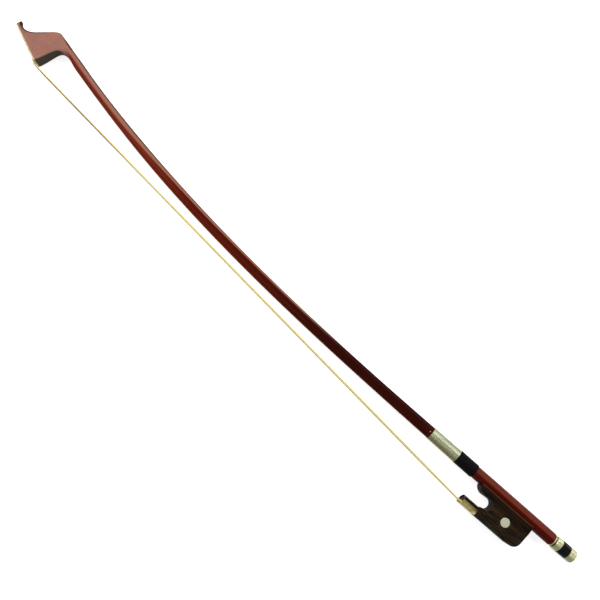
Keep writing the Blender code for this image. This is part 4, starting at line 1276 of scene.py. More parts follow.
    def shaft_row(self, x: float) -> tuple:
        """A shaft section written as a row of the head's table.

        Args:
            x: Place along the drawing.

        Returns:
            The row.
        """
        flat = self.radius(x) * math.cos(math.pi / 8.0)
        half = self.radius(x) * math.sin(math.pi / 8.0)
        slope = self.slope(x)
        dx, dy = math.sin(slope) * flat, math.cos(slope) * flat
        share = half / flat
        return (x + dx, self.camber(x) - dy, x - dx, self.camber(x) + dy,
                half, flat, (1.0 - share) / 2.0, flat, (1.0 + share) / 2.0, half)

    def head_section(self, row: Sequence[float]) -> list[Vector]:
        """Corners of one head section from its row.

        Args:
            row: A row of the head's table.

        Returns:
            Eight corners, the hair side's first.
        """
        lx, ly, tx, ty, floor, side_low, at_low, side_high, at_high, back = row
        low, top = Vector((lx, ly, 0.0)), Vector((tx, ty, 0.0))
        half = [(0.0, floor), (at_low, side_low), (at_high, side_high), (1.0, back)]
        right = [low.lerp(top, share) + Vector((0.0, 0.0, width)) for share, width in half]
        left = [Vector((p.x, p.y, -p.z)) for p in reversed(right)]
        return right + left

    def sections(self) -> list[Ring]:
        """Every section from the bore round the stick end to the beak.

        Returns:
            The sections.
        """
        edges = [self.edge] * 8
        stations = (
            (self.end_x, self.handle - self.end_bevel, self.handle_turn),
            (self.end_x - self.end_bevel, self.handle, self.handle_turn), *self.stations,
            (self.lapping_end, self.radius(self.shaft[0][0]), 0.0),
        )
        outer = [soften(self.octagon(x, r, turn), edges) for x, r, turn in stations]
        rings: list[Ring] = []
        for x in (self.bore_end, self.end_x):
            rings.append([Vector((x, 0.0, 0.0)) + Vector((0.0, p.y, p.z)).normalized() * self.bore
                          for p in outer[0]])
        rings += outer
        x = self.shaft_start
        while x > self.shaft_end + 1.0:
            rings.append(soften(self.octagon(x, self.radius(x), 0.0), edges))
            x -= self.shaft_step
        rows = [self.shaft_row(self.head_lead), self.shaft_row(self.shaft_end), *self.head]
        for index in range(1, len(rows) - 1):
            steps = 1 if index == self.heel_rows[0] else self.head_steps
            rings += [self._head_ring(rows, index, step / steps) for step in range(steps)]
        rings.append(self._head_ring(rows, len(rows) - 2, 1.0))
        return rings

    def _head_ring(self, rows: Sequence[Sequence[float]], index: int, share: float) -> Ring:
        """One softened head section between two rows.

        Args:
            rows: The head's rows, led by two of the shaft.
            index: Row that starts the stretch.
            share: Place along the stretch, from 0 to 1.

        Returns:
            The section.
        """
        low = spline_at([row[:2] for row in rows], index, share, self.heel_rows)
        rest = spline_at([row[2:] for row in rows], index, share)
        firm = smooth(1.0, 6.0, index + share)
        sharp = self.edge + (self.crisp - self.edge) * firm
        radii = [sharp, sharp, self.edge, self.edge, self.edge, self.edge, sharp, sharp]
        return soften(self.head_section([*low, *rest]), radii)

    def build(self, bench: Bench, finishes: Finishes, head: "Head") -> None:
        """Make the stick, cut the nut's slot and the head's mortise, and mark the wood.

        Args:
            bench: Where meshes are made.
            finishes: The materials.
            head: The head, for its mortise.
        """
        stick = bench.skin("stick_and_head", self.sections(), self.crease)
        slot = bench.block("slot_cutter", Vector(self.slot_low), Vector(self.slot_high))
        for cutter in (slot, head.mortise(bench)):
            bench.carve(stick, cutter, self.crease)
        origin = bench.datum.origin
        grain = stick.data.attributes.new("grain", "FLOAT_VECTOR", "POINT")
        for vertex, item in zip(stick.data.vertices, grain.data):
            place = vertex.co - origin
            lift = self.camber(max(place.x / MM, self.grain_end)) * MM
            item.vector = (place.x, place.y - lift, place.z)
        self._mark_facets(stick, origin)
        self._mark_hollow(stick, origin)
        bench.dress(stick, finishes.wood, Body.STICK, "stick_wood", "stick")

    def _mark_facets(self, stick: bpy.types.Object, origin: Vector) -> None:
        """Mark the back, the throat and the handle's upper facets, face by face, for painted shade, a painted
        reflection and painted light.

        Args:
            stick: The stick.
            origin: The drawing's zero in the frame.
        """
        backs, throats, crowns = [], [], []
        for face in stick.data.polygons:
            place, normal = (face.center - origin) / MM, face.normal
            cheek = abs(normal.z)
            shaft = smooth(*self.shaft_from, place.x)
            back = (smooth(*self.shaft_back, normal.y) * shaft
                    + smooth(*self.handle_back, normal.y) * (1.0 - shaft))
            lean = normal.xy.dot(Vector(self.beak_lean))
            back = max(back, smooth(*self.beak_from, place.x) * smooth(*self.beak_back, lean))
            side = smooth(*self.cheek_side, cheek)
            throat = smooth(*self.throat_from, place.x) * smooth(*self.throat_face, normal.x)
            throat *= (1.0 - side) * smooth(*self.throat_until, place.x)
            crown = smooth(*self.crown_face, normal.y) * side * (1.0 - shaft)
            backs.append(back)
            throats.append(throat)
            crowns.append(crown)
        for name, values in (("back", backs), ("throat", throats), ("crown", crowns)):
            stick.data.attributes.new(name, "FLOAT", "FACE").data.foreach_set("value", values)

    def _mark_hollow(self, stick: bpy.types.Object, origin: Vector) -> None:
        """Store how far each point of the stick lies from the line of the beak's back, where painted shade runs.

        Args:
            stick: The stick.
            origin: The drawing's zero in the frame.
        """
        tops = [Vector((row[2], row[3])) for row in self.head if row[2] < self.hollow_from]
        gaps: list[float] = []
        for vertex in stick.data.vertices:
            spot = ((vertex.co - origin) / MM).to_2d()
            near = []
            for here, there in zip(tops, tops[1:]):
                run = there - here
                share = min(1.0, max(0.0, (spot - here).dot(run) / run.length_squared))
                near.append((spot - here.lerp(there, share)).length)
            gaps.append(min(near))
        stick.data.attributes.new("hollow", "FLOAT", "POINT").data.foreach_set("value", gaps)


@dataclass
class Head:
    """Face plate and mortise of the head, measured from the heel of its face."""

    heel: tuple = (-647.5, 17.3)
    tip: tuple = (-689.6, 33.44)
    heel_half: float = 7.0
    tip_half: float = 2.7
    plate: float = 1.5
    near: float = 3.4
    far: float = 11.0
    depth: float = 6.5
    mouth: float = 5.0
    floor: float = 4.2
    margin: float = 0.05
    heel_gap: float = 0.2
    steps: int = 12

    def on_face(self, along: float, depth: float, z: float) -> Vector:
        """A point measured along the face from the heel and into the wood.

        Args:
            along: Distance from the heel towards the tip.
            depth: Distance into the wood.
            z: Distance across the hair.

        Returns:
            The point.
        """
        heel = Vector((*self.heel, 0.0))
        line = (Vector((*self.tip, 0.0)) - heel).normalized()
        inward = Vector((line.y, -line.x, 0.0))
        return heel + line * along + inward * depth + Vector((0.0, 0.0, z))

    def mortise(self, bench: Bench, low: float = -1.0) -> bpy.types.Object:
        """The tapered body that hollows the mortise.

        Args:
            bench: Where meshes are made.
            low: Depth at which the body starts.

        Returns:
            The body.
        """
        rings = []
        for depth, half in ((low, self.mouth), (self.depth, self.floor)):
            rings.append([self.on_face(self.near, depth, -half), self.on_face(self.far, depth, -half),
                          self.on_face(self.far, depth, half), self.on_face(self.near, depth, half)])
        return bench.skin("mortise_cutter", rings)

    def build(self, bench: Bench, finishes: Finishes) -> None:
        """Make the face plate and open the mortise in it.

        Args:
            bench: Where meshes are made.
            finishes: The materials.
        """
        length = (Vector(self.tip) - Vector(self.heel)).length
        rings = []
        for step in range(self.steps + 1):
            share = step / self.steps
            along = self.heel_gap + (length - self.heel_gap - self.margin) * share
            half = self.heel_half + (self.tip_half - self.heel_half) * share - self.margin
            corners = [self.on_face(along, 0.0, half), self.on_face(along, -self.plate, half),
                       self.on_face(along, -self.plate, -half), self.on_face(along, 0.0, -half)]
            rings.append(soften(corners, (0.05, 0.45, 0.45, 0.05)))
        plate = bench.skin("head_face_plate", rings)
        bench.carve(plate, self.mortise(bench, -3.0))
        bench.dress(plate, finishes.bone, Body.STICK, "bone", "head_plate")


@dataclass
class Wrappings:
    """Wire lapping and the thumb leather.

    A row of leather holds its distance inside that end, or its place in the middle, and
    the change of radius there.
    """

    front: float = -140.4
    joint: float = -109.7
    rear: float = -90.0
    wire: float = 0.20
    pitch: float = 0.41
    wire_corner: float = 6.15
    wire_swell: float = 0.22
    leather_corner: float = 6.85
    turn_front: float = 0.0
    turn_rear: float = 22.5
    turning: tuple = (-125.0, -100.0)
    swelling: tuple = (-134.0, -116.0)
    wire_start: float = 11.25
    wire_steps: int = 32
    wire_sides: int = 6
    leather_steps: int = 96
    leather_ease: float = 0.6
    seam: float = 206.25
    seam_half: float = 3.8
    seam_depth: float = 0.16
    leather_front: tuple = ((0.05, -0.55), (0.12, -0.18), (0.45, 0.0), (2.2, -0.05))
    leather_middle: tuple = ((-101.0, -0.08), (-97.5, -0.08))
    leather_rear: tuple = ((2.2, -0.05), (0.45, 0.0), (0.12, -0.18), (0.02, -0.60))

    @staticmethod
    def reach(angle: float, corner: float, turn: float, ease: float = 0.90) -> float:
        """Distance from the axis to a soft octagon.

        Args:
            angle: Direction in degrees, 0 on the back of the stick.
            corner: Corner radius.
            turn: Swing of the facets in degrees.
            ease: Share of the corner that is left after softening.

        Returns:
            The distance.
        """
        bend = (angle - turn + 22.5) % 45.0 - 22.5
        flat = corner * math.cos(math.pi / 8.0)
        sharp = flat / math.cos(math.radians(bend))
        return sharp - (corner - flat) * (1.0 - ease) * smooth(12.0, 22.5, abs(bend)) * 2.0

    def turned_at(self, x: float) -> float:
        """Swing of the facets at X under the wrappings."""
        return self.turn_front + (self.turn_rear - self.turn_front) * smooth(*self.turning, x)

    def build(self, bench: Bench, finishes: Finishes, stick: Stick) -> None:
        """Wind the wire and wrap the leather.

        Args:
            bench: Where meshes are made.
            finishes: The materials.
            stick: The stick, for its centre line.
        """
        lapping = bench.skin("lapping_wound_wire", self._winding(stick), 80.0)
        bench.dress(lapping, finishes.wire, Body.STICK, "silver_wire", "lapping")
        leather = bench.skin("thumb_leather_wrap", self._wrap(stick), 50.0)
        bench.dress(leather, finishes.leather, Body.STICK, "leather", "thumb_leather")

    def _winding(self, stick: Stick) -> list[Ring]:
        """Sections of the wire, turn after turn.

        Args:
            stick: The stick, for its centre line.

        Returns:
            The sections.
        """
        rings: list[Ring] = []
        turns = (self.joint - self.front - 2.0 * self.wire) / self.pitch
        for step in range(int(turns * self.wire_steps) + 1):
            x = self.front + self.wire + self.pitch * step / self.wire_steps
            angle = 360.0 * step / self.wire_steps + self.wire_start
            corner = self.wire_corner + self.wire_swell * smooth(*self.swelling, x)
            out = self.reach(angle, corner, self.turned_at(x))
            swing = math.radians(angle)
            radial = Vector((0.0, math.cos(swing), math.sin(swing)))
            centre = Vector((x, stick.camber(x), 0.0)) + radial * out
            phases = [math.tau * side / self.wire_sides for side in range(self.wire_sides)]
            rings.append([centre + radial * (self.wire * math.cos(phase))
                          + Vector((self.wire * math.sin(phase), 0.0, 0.0)) for phase in phases])
        return rings

    def _wrap(self, stick: Stick) -> list[Ring]:
        """Sections of the leather, with rolled ends and a seam.

        Args:
            stick: The stick, for its centre line.

        Returns:
            The sections.
        """
        rings: list[Ring] = []
        first, last = self.joint, self.rear
        profile = [(first + inside, change) for inside, change in self.leather_front]
        profile += self.leather_middle
        profile += [(last - inside, change) for inside, change in self.leather_rear]
        for x, change in profile:
            ring = []
            for step in range(self.leather_steps):
                angle = 360.0 * step / self.leather_steps
                seam = self.seam_depth * max(0.0, 1.0 - abs(angle - self.seam) / self.seam_half)
                corner, ease = self.leather_corner, self.leather_ease
                out = self.reach(angle, corner, self.turned_at(x), ease) + change - seam
                swing = math.radians(angle)
                ring.append(Vector((x, stick.camber(x) + out * math.cos(swing),
                                    out * math.sin(swing))))
            rings.append(ring)
        return rings


@dataclass
class Hair:
    """The ribbon of horsehair, strand by strand.

    Its half width is half at the head, grows by fan at once and by splay to the frog.
    """

    head: Head
    thickness: float = 1.30
    narrow: float = 0.66
    strands: int = 240
    layers: int = 5
    width: float = 0.26
    sag: float = 0.45
    run_start: tuple = (-647.4, 14.35)
    run_end: tuple = (-84.0, -28.3)
    in_head: tuple = ((4.2, 3.8, 4.1), (4.15, 0.5, 4.3), (4.05, -1.3, 4.5), (3.4, -1.95, 4.6),
                      (1.6, -2.15, 4.7))
    in_frog: tuple = ((-80.0, -28.45, 6.9), (-74.0, -28.4, 6.4), (-69.5, -27.8, 5.7),
                      (-61.4, -27.3, 5.3))
    shares: tuple = (0.0, 0.012, 0.03, 0.08, 0.15, 0.25, 0.35, 0.45, 0.55, 0.65, 0.75, 0.85,
                     0.92, 0.97, 1.0)
    half: float = 4.8
    fan: float = 0.7
    fan_by: float = 0.15
    splay: float = 1.45
    full: tuple = (0.02, 0.93)
    core: float = 0.32
    core_inset: float = 0.25
    core_shade: tuple = (0.6, -0.2)
    edge: float = 0.99
    margin: float = 0.12
    stagger: tuple = (0.1, 0.4)
    unevenness: float = 0.08
    wander: float = 0.006
    seed: int = 11

    def path(self) -> list[tuple[Vector, float, float]]:
        """Centre line, half width and thickness of the ribbon from mortise to mortise.

        Returns:
            The rows.
        """
        rows = [(self.head.on_face(along, depth, 0.0), half, self.narrow)
                for along, depth, half in self.in_head]
        start, end = Vector((*self.run_start, 0.0)), Vector((*self.run_end, 0.0))
        for share in self.shares:
            point = start.lerp(end, share)
            drop = self.sag * 4.0 * share * (1.0 - share)
            half = self.half + self.fan * smooth(0.0, self.fan_by, share) + self.splay * share ** 2
            swell = smooth(0.0, self.full[0], share) * (1.0 - smooth(self.full[1], 1.0, share))
            thick = self.narrow + (self.thickness - self.narrow) * swell
            rows.append((Vector((point.x, point.y - drop, 0.0)), half, thick))
        rows += [(Vector((x, y, 0.0)), half, self.narrow) for x, y, half in self.in_frog]
        return rows

    @staticmethod
    def _normals(rows: Sequence[tuple[Vector, float, float]]) -> list[Vector]:
        """Directions square to the ribbon.

        Args:
            rows: The ribbon's rows.

        Returns:
            One direction for each row.
        """
        normals = []
        for index in range(len(rows)):
            before = rows[max(0, index - 1)][0]
            after = rows[min(len(rows) - 1, index + 1)][0]
            tangent = (after - before).normalized()
            normals.append(Vector((-tangent.y, tangent.x, 0.0)))
        return normals

    def build(self, bench: Bench, finishes: Finishes) -> None:
        """Lay the strands over a thin core and tie them to both bodies.

        Args:
            bench: Where meshes are made.
            finishes: The materials.
        """
        rows = self.path()
        stations = [(*row, normal) for row, normal in zip(rows, self._normals(rows))]
        verts: list[Vector] = []
        faces: list[tuple] = []
        shades: list[Vector] = []
        core = []
        for point, half, thick, normal in stations:
            out, side = normal * (thick * self.core), Vector((0.0, 0.0, half - self.core_inset))
            core.append([point - out - side, point + out - side,
                         point + out + side, point - out + side])
        self._lay(verts, faces, shades, core, self.core_shade)
        dice = random.Random(self.seed)
        per_layer = self.strands // self.layers
        for layer in range(self.layers):
            level = layer / (self.layers - 1) - 0.5
            for number in range(per_layer):
                shift = number + 0.5 * (layer % 2) + dice.uniform(*self.stagger)
                across = max(-self.edge, min(self.edge, -1.0 + 2.0 * shift / per_layer))
                shade = dice.random()
                lift = level + dice.uniform(-self.unevenness, self.unevenness)
                rings = self._strand(stations, across, lift, dice)
                self._lay(verts, faces, shades, rings, (shade, lift))
        hair = bench.solid("horsehair_ribbon", verts, faces, 80.0)
        marks = hair.data.attributes.new("strand", "FLOAT_VECTOR", "POINT")
        if len(shades) == len(hair.data.vertices):
            for shade, item in zip(shades, marks.data):
                item.vector = shade
        else:
            LOG.warning("hair lost points: %d of %d", len(hair.data.vertices), len(shades))
        hair.data.materials.append(finishes.hair)
        place = bench.datum.place
        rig.blend(hair, Body.STICK.value, Body.FROG.value,
                 start=place(Vector((*self.run_start, 0.0))), end=place(Vector((*self.run_end, 0.0))))
        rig.slot(hair, "horsehair")
        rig.replaces(hair, "hair_ribbon")
        LOG.info("%s: %d faces between stick and frog", hair.name, len(hair.data.polygons))

    def _strand(self, stations: Sequence[tuple[Vector, float, float, Vector]], across: float,
                lift: float, dice: random.Random) -> list[Ring]:
        """Three-sided sections of one strand.

        Args:
            stations: Centre, half width, thickness and direction of the ribbon.
            across: Place across the ribbon, from -1 to 1.
            lift: Place in the ribbon's thickness.
            dice: Source of the small wander.

        Returns:
            The sections.
        """
        rings = []
        side = Vector((0, 0, self.width * 0.5))
        for point, half, thick, normal in stations:
            drift = across + dice.uniform(-self.wander, self.wander)
            rise = lift * (thick - self.width)
            centre = point + normal * rise + Vector((0.0, 0.0, drift * (half - self.margin)))
            under = centre - normal * (self.width * 0.25)
            rings.append([centre + normal * (self.width * 0.5), under + side, under - side])
        return rings

    def _lay(self, verts: list[Vector], faces: list[tuple], shades: list[Vector],
             rings: Sequence[Ring], shade: tuple[float, float]) -> None:
        """Add one strand to the growing lists.

        Args:
            verts: Points so far.
            faces: Faces so far.
            shades: Marks so far: shade, level in the ribbon and share of the run.
            rings: Sections of the strand.
            shade: The strand's shade and its level.
        """
        points, cells = Bench.lattice(rings)
        base = len(verts)
        verts.extend(points)
        faces.extend(tuple(base + corner for corner in cell) for cell in cells)
        start, run = self.run_start[0], self.run_end[0] - self.run_start[0]
        shades.extend(Vector((*shade, (point.x - start) / run)) for point in points)


@dataclass
class Ferrule:
    """D-shaped metal ring at the frog's front."""

    front: float = -84.0
    rear: float = -69.3
    half: float = 8.4
    bottom: float = -29.9
    spring: float = -26.5
    top: float = -21.2
    corner: float = 1.1
    wall: float = 0.7
    lip: tuple = (0.25, 0.07)
    seat: tuple = (0.2, 0.05)
    hold: float = 2.0
    floor_steps: int = 12
    corner_steps: int = 5
    dome_steps: int = 36

    def section(self, x: float, inset: float, floor: float | None = None) -> Ring:
        """D-shaped section at X.

        Args:
            x: Place along the drawing.
            inset: Distance inside the outer face.
            floor: Lowest Y, where it is cut short.

        Returns:
            The points of the section.
        """
        half, low, rise = self.half - inset, self.bottom + inset, self.top - inset - self.spring
        corner = max(0.25, self.corner - inset)
        dome = [math.radians(180.0 * step / self.dome_steps) for step in range(self.dome_steps + 1)]
        shoulder = (low + corner + self.spring) / 2.0
        points = [(half - 2.0 * half * step / self.floor_steps, low)
                  for step in range(1, self.floor_steps)]
        points += arc(-half + corner, low + corner, corner, 270.0, 180.0, self.corner_steps)
        points.append((-half, shoulder))
        points += [(-half * math.cos(a), self.spring + rise * math.sin(a)) for a in dome]
        points.append((half, shoulder))
        points += arc(half - corner, low + corner, corner, 0.0, -90.0, self.corner_steps)
        return [Vector((x, y if floor is None else max(y, floor), z)) for z, y in points]

    def build(self, bench: Bench, finishes: Finishes) -> None:
        """Make the ring with its eased edges.

        Args:
            bench: Where meshes are made.
            finishes: The materials.
        """
        front, rear, wall, hold = self.front, self.rear, self.wall, self.hold
        (lip, bend), (seat, edge) = self.lip, self.seat
        rings = [self.section(x, inset) for x, inset in (
            (rear, wall), (front + lip, wall), (front + bend, wall - bend), (front, wall - lip),
            (front, lip), (front + bend, bend), (front + lip, 0.0), (front + hold, 0.0),
            (rear - hold, 0.0), (rear - seat, 0.0), (rear - edge, edge), (rear, seat),
        )]
        ring = bench.skin("ferrule_ring", rings, 40.0, looped=True)
        bench.dress(ring, finishes.ferrule, Body.FROG, "nickel_silver", "ferrule")


@dataclass
class Frog:
    """Ebony frog with soft edges, cheeks and a thumb opening."""

    ferrule: Ferrule
    half: float = 8.4
    top_half: float = 6.6
    shoulder: float = -11.8
    dome_rear: float = -61.5
    dome_top: tuple = (-20.4, -15.5)
    top_rear: float = -23.1
    side_rear: float = -24.1
    corner: float = 7.8
    rear_bottom: float = -29.35
    front_bottom: float = -29.8
    throat: tuple = (-65.2, -15.1)
    throat_radius: float = 5.0
    nose: tuple = (-71.6, -2.4)
    nose_radius: float = 8.35
    channel_corner: float = 6.0
    channel_gap: float = 0.75
    edge: float = 0.5
    channel_edge: float = 0.18
    ferrule_edge: float = 0.06
    edge_steps: int = 4
    margins: tuple = (0.9, 1.5, 2.3)
    spacing: float = 1.0
    field_low: tuple = (-79.5, -29.4)
    field_high: tuple = (-23.0, -4.0)
    field_step: tuple = (1.1, 0.9)
    under_throat: tuple = (-68.0, -20.95)
    tongue_floor: float = -26.0
    tongue_inset: float = 0.04
    tongue_short: float = 0.9
    tongue_bevel: float = 0.3
    tongue_root: float = 0.6
    slide_rear: float = -32.9
    slide_half: float = 5.75
    slide_flare: float = 0.15
    slide_thick: float = 1.3
    slide_proud: float = 0.09
    slide_gap: float = 0.05
    slide_bevel: float = 0.3
    slide_ease: float = 0.25
    eye: tuple = (-45.0, -16.9)
    eye_radius: float = 4.35
    eye_margin: float = 0.5
    eye_depth: float = 0.5
    eye_steps: int = 56
    eye_profile: tuple = ((4.18, 7.95), (4.18, 8.24), (4.08, 8.33), (3.2, 8.37), (1.6, 8.40),
                          (0.3, 8.40))

    def channel(self, z: float) -> float:
        """Y of the channel's floor at Z.

        Args:
            z: Distance across the hair.

        Returns:
            The height.
        """
        turn = math.pi / 8.0
        reach = self.channel_corner * math.cos(turn) + self.channel_gap
        return -(reach - math.sin(turn) * abs(z)) / math.cos(turn)

    def outline(self) -> list[tuple[float, float]]:
        """Side outline, evenly divided, from the top rear corner down and round.

        Returns:
            The points.
        """
        top = self.channel(self.top_half)
        points: list[tuple[float, float]] = [(self.top_rear, top)]
        points += arc(self.side_rear - self.corner, self.rear_bottom + self.corner,
                      self.corner, 0, -90, 16)
        points += [(self.ferrule.rear, self.front_bottom), (self.ferrule.rear, self.ferrule.top),
                   self.under_throat]
        points += arc(*self.throat, self.throat_radius, -100, 90, 26)
        points += arc(*self.nose, self.nose_radius, 270, 180, 20)
        points.append((self.nose[0] - self.nose_radius, top))
        even: list[tuple[float, float]] = []
        for index, here in enumerate(points):
            there = points[(index + 1) % len(points)]
            gap = math.dist(here, there)
            if gap < 0.05:
                continue
            count = max(1, round(gap / self.spacing))
            even += [(here[0] + (there[0] - here[0]) * step / count,
                      here[1] + (there[1] - here[1]) * step / count) for step in range(count)]
        return even

    def width(self, x: float, y: float) -> float:
        """Half width of the frog at a point of its side view.

        Args:
            x: Place along the drawing.
            y: Height in the drawing.

        Returns:
            The half width.
        """
        part = max(0.0, (y - self.shoulder) / (self.channel(self.top_half) - self.shoulder))
        plain = self.half - (self.half - self.top_half) * min(1.0, part) ** 1.6
        ring = self.ferrule
        rise = max(0.0, min(1.0, (y - ring.spring) / (ring.top - ring.spring)))
        domed = self.half * math.sqrt(max(0.0, 1.0 - rise * rise))
        share = max(smooth(ring.rear, self.dome_rear, x), smooth(*self.dome_top, y))
        return domed + (plain - domed) * share

    def build(self, bench: Bench, finishes: Finishes) -> None:
        """Make the body, its tongue, the slide and both eyes.

        Args:
            bench: Where meshes are made.
            finishes: The materials.
        """
        bench.dress(self._body(bench), finishes.ebony, Body.FROG, "ebony", "frog_body")
        bench.dress(self._tongue(bench), finishes.ebony, Body.FROG, "ebony")
        bench.dress(self._slide(bench), finishes.slide_ebony, Body.FROG, "ebony_slide",
                    "frog_slide_plate")
        for name, node, sign in (("pearl_eye_front", "pearl_eye_near", 1.0),
                                 ("pearl_eye_back", "pearl_eye_far", -1.0)):
            eye = self._eye(bench, name, sign)
            bench.dress(eye, finishes.pearl, Body.FROG, "pearl", node)

    def _tongue(self, bench: Bench) -> bpy.types.Object:
        """The wood that reaches into the ferrule.

        Args:
            bench: Where meshes are made.

        Returns:
            The tongue.
        """
        ring = self.ferrule
        inset = ring.wall + self.tongue_inset
        tip, bevel = ring.front + self.tongue_short, self.tongue_bevel
        stations = ((tip, inset + bevel), (tip + bevel, inset), (ring.rear + self.tongue_root, inset))
        return bench.skin("frog_tongue", [
            ring.section(x, depth, self.tongue_floor) for x, depth in stations])

    def _slide(self, bench: Bench) -> bpy.types.Object:
        """The dovetailed slide, with its edges eased.

        Args:
            bench: Where meshes are made.

        Returns:
            The slide.
        """
        front = self.ferrule.rear
        tilt = math.atan2(self.rear_bottom - self.front_bottom, self.side_rear - self.corner - front)
        rings = []
        start, end = front + self.slide_gap, self.slide_rear
        bevel, ease = self.slide_bevel, self.slide_ease
        for x, trim in ((start, ease), (start + bevel, 0.0), (end - bevel, 0.0), (end, ease)):
            low = self.front_bottom - self.slide_proud + (x - front) * math.tan(tilt)
            top, half = low + self.slide_thick, self.slide_half - trim
            flare = half + self.slide_flare
            corners = [Vector((x, low + trim, half)), Vector((x, low + trim, -half)),
                       Vector((x, top, -flare)), Vector((x, top, flare))]
            rings.append(soften(corners, [0.15] * 4, 2))
        return bench.skin("frog_slide", rings)

    def _on_top(self, y: float) -> bool:
        """Whether a point of the outline lies in the channel."""
        return y > self.channel(self.top_half) - 0.01

    def _body(self, bench: Bench) -> bpy.types.Object:
        """Mesh the side view, lift it to both cheeks and close the rim.

        Args:
            bench: Where meshes are made.

        Returns:
            The body.
        """
        line = self.outline()
        spots, drops = self._rim_points(line)
        inner = spots[-len(line):]
        hole_base = len(spots)
        hole = self._circle(self.eye_radius + 0.05)
        spots += hole + self._field_points(inner)
        drops += [0.0] * (len(spots) - len(drops))
        verts, cells, source = self._cheek(spots, drops, len(line), hole_base)
        offset = len(verts)
        verts += [Vector((v.x, v.y, -v.z)) for v in verts]
        faces: list[tuple] = [tuple(cell) for cell in cells]
        faces += [tuple(offset + i for i in reversed(cell)) for cell in cells]
        self._close_rim(verts, faces, line, source, offset)
        rim = [source[hole_base + i] for i in range(len(hole))]
        self._sink_eyes(verts, faces, hole, rim, offset)
        return bench.solid("frog_ebony_body", verts, faces, 40.0)

    def _circle(self, radius: float) -> list[Vector]:
        """Points round the middle of the eye."""
        return [Vector(point) for point in arc(*self.eye, radius, 0.0, 360.0, self.eye_steps)[:-1]]

    def _rim_points(self, line: Sequence[tuple[float, float]]) -> tuple[list[Vector], list[float]]:
        """Rings of points inside the outline, first down the soft edge and then on the cheek.

        Args:
            line: The outline.

        Returns:
            The points, and how far each lies below the cheek.
        """
        normals = self._normals(line)
        edges: list[float] = []
        for x, y in line:
            at_front = abs(x - self.ferrule.rear) < 0.01 and y < self.ferrule.top + 0.01
            plain = self.ferrule_edge if at_front else self.edge
            edges.append(self.channel_edge if self._on_top(y) else plain)
        rings: list[tuple[list[float], list[float]]] = []
        for step in range(self.edge_steps + 1):
            swing = math.pi / 2.0 * step / self.edge_steps
            rings.append(([edge * (1.0 - math.cos(swing)) for edge in edges],
                          [edge * (1.0 - math.sin(swing)) for edge in edges]))
        rings += [([margin] * len(line), [0.0] * len(line)) for margin in self.margins]
        spots: list[Vector] = []
        drops: list[float] = []
        for insets, falls in rings:
            spots += [Vector((x - normal.x * inset, y - normal.y * inset))
                      for (x, y), normal, inset in zip(line, normals, insets)]
            drops += falls
        return spots, drops

    def _field_points(self, inner: Sequence[Vector]) -> list[Vector]:
        """Even points on the cheek, clear of the eye.

        Args:
            inner: The innermost ring of the rim.

        Returns:
            The points.
        """
        spots: list[Vector] = []
        x = self.field_low[0]
        while x < self.field_high[0]:
            y = self.field_low[1]
            while y < self.field_high[1]:
                here = Vector((x, y))
                from_eye = (here - Vector(self.eye)).length
                if from_eye > self.eye_radius + self.eye_margin and self._inside(here, inner):
                    spots.append(here)
                y += self.field_step[1]
            x += self.field_step[0]
        return spots

    def _cheek(self, spots: Sequence[Vector], drops: Sequence[float], count: int,
               hole_base: int) -> tuple[list[Vector], list[list[int]], dict[int, int]]:
        """Join the points of the side view into faces and lift them to the near cheek.

        Args:
            spots: The points: the rim's, the eye's and the field's.
            drops: How far each lies below the cheek.
            count: Number of points in the outline.
            hole_base: Number of the first point round the eye.

        Returns:
            The lifted points, the faces and, for each given point, the number it has now.
        """
        hole = range(self.eye_steps)
        edges = [(index, (index + 1) % count) for index in range(count)]
        edges += [(hole_base + i, hole_base + (i + 1) % len(hole)) for i in hole]
        got, _, cells, origins, _, _ = delaunay_2d_cdt(spots, edges, [list(range(count))], 1, 1e-5)
        middle = Vector(self.eye)
        cells = [cell for cell in cells
                 if (sum((got[i] for i in cell), Vector((0.0, 0.0))) / len(cell) - middle).length
                 > self.eye_radius + 0.02]
        verts: list[Vector] = []
        source: dict[int, int] = {}
        for index, point in enumerate(got):
            first = origins[index][0] if origins[index] else -1
            if first >= 0:
                source.setdefault(first, index)
            drop = drops[first] if first >= 0 else 0.0
            height = max(0.02, self.width(point.x, point.y) - drop)
            verts.append(Vector((point.x, point.y, height)))
        return verts, cells, source

    def _close_rim(self, verts: list[Vector], faces: list[tuple],
                   line: Sequence[tuple[float, float]], source: Mapping[int, int],
                   offset: int) -> None:
        """Join the two cheeks by way of the outline at mid width.

        Args:
            verts: Points so far.
            faces: Faces so far.
            line: The outline.
            source: Number of each outline point on the near cheek.
            offset: Number of the far cheek's first point.
        """
        count, middle = len(line), len(verts)
        for x, y in line:
            verts.append(Vector((x, self.channel(0.0) if self._on_top(y) else y, 0.0)))
        for index in range(count):
            nxt = (index + 1) % count
            a, b = source[index], source[nxt]
            faces.append((a, b, middle + nxt, middle + index))
            faces.append((middle + index, middle + nxt, offset + b, offset + a))

    def _sink_eyes(self, verts: list[Vector], faces: list[tuple], hole: Sequence[Vector],
                   rim: Sequence[int], offset: int) -> None:
        """Sink a round seat for the pearl into both cheeks.

        Args:
            verts: Points so far.
            faces: Faces so far.
            hole: Points round the eye in the side view.
            rim: Their numbers on the near cheek.
            offset: Number of the far cheek's first point.
        """
        count = len(hole)
        for sign, base in ((1.0, 0), (-1.0, offset)):
            wall = len(verts)
            verts += [Vector((p.x, p.y, sign * (self.half - self.eye_depth))) for p in hole]
            for i in range(count):
                nxt = (i + 1) % count
                faces.append((base + rim[i], base + rim[nxt], wall + nxt, wall + i))
            faces.append(tuple(wall + i for i in range(count)))

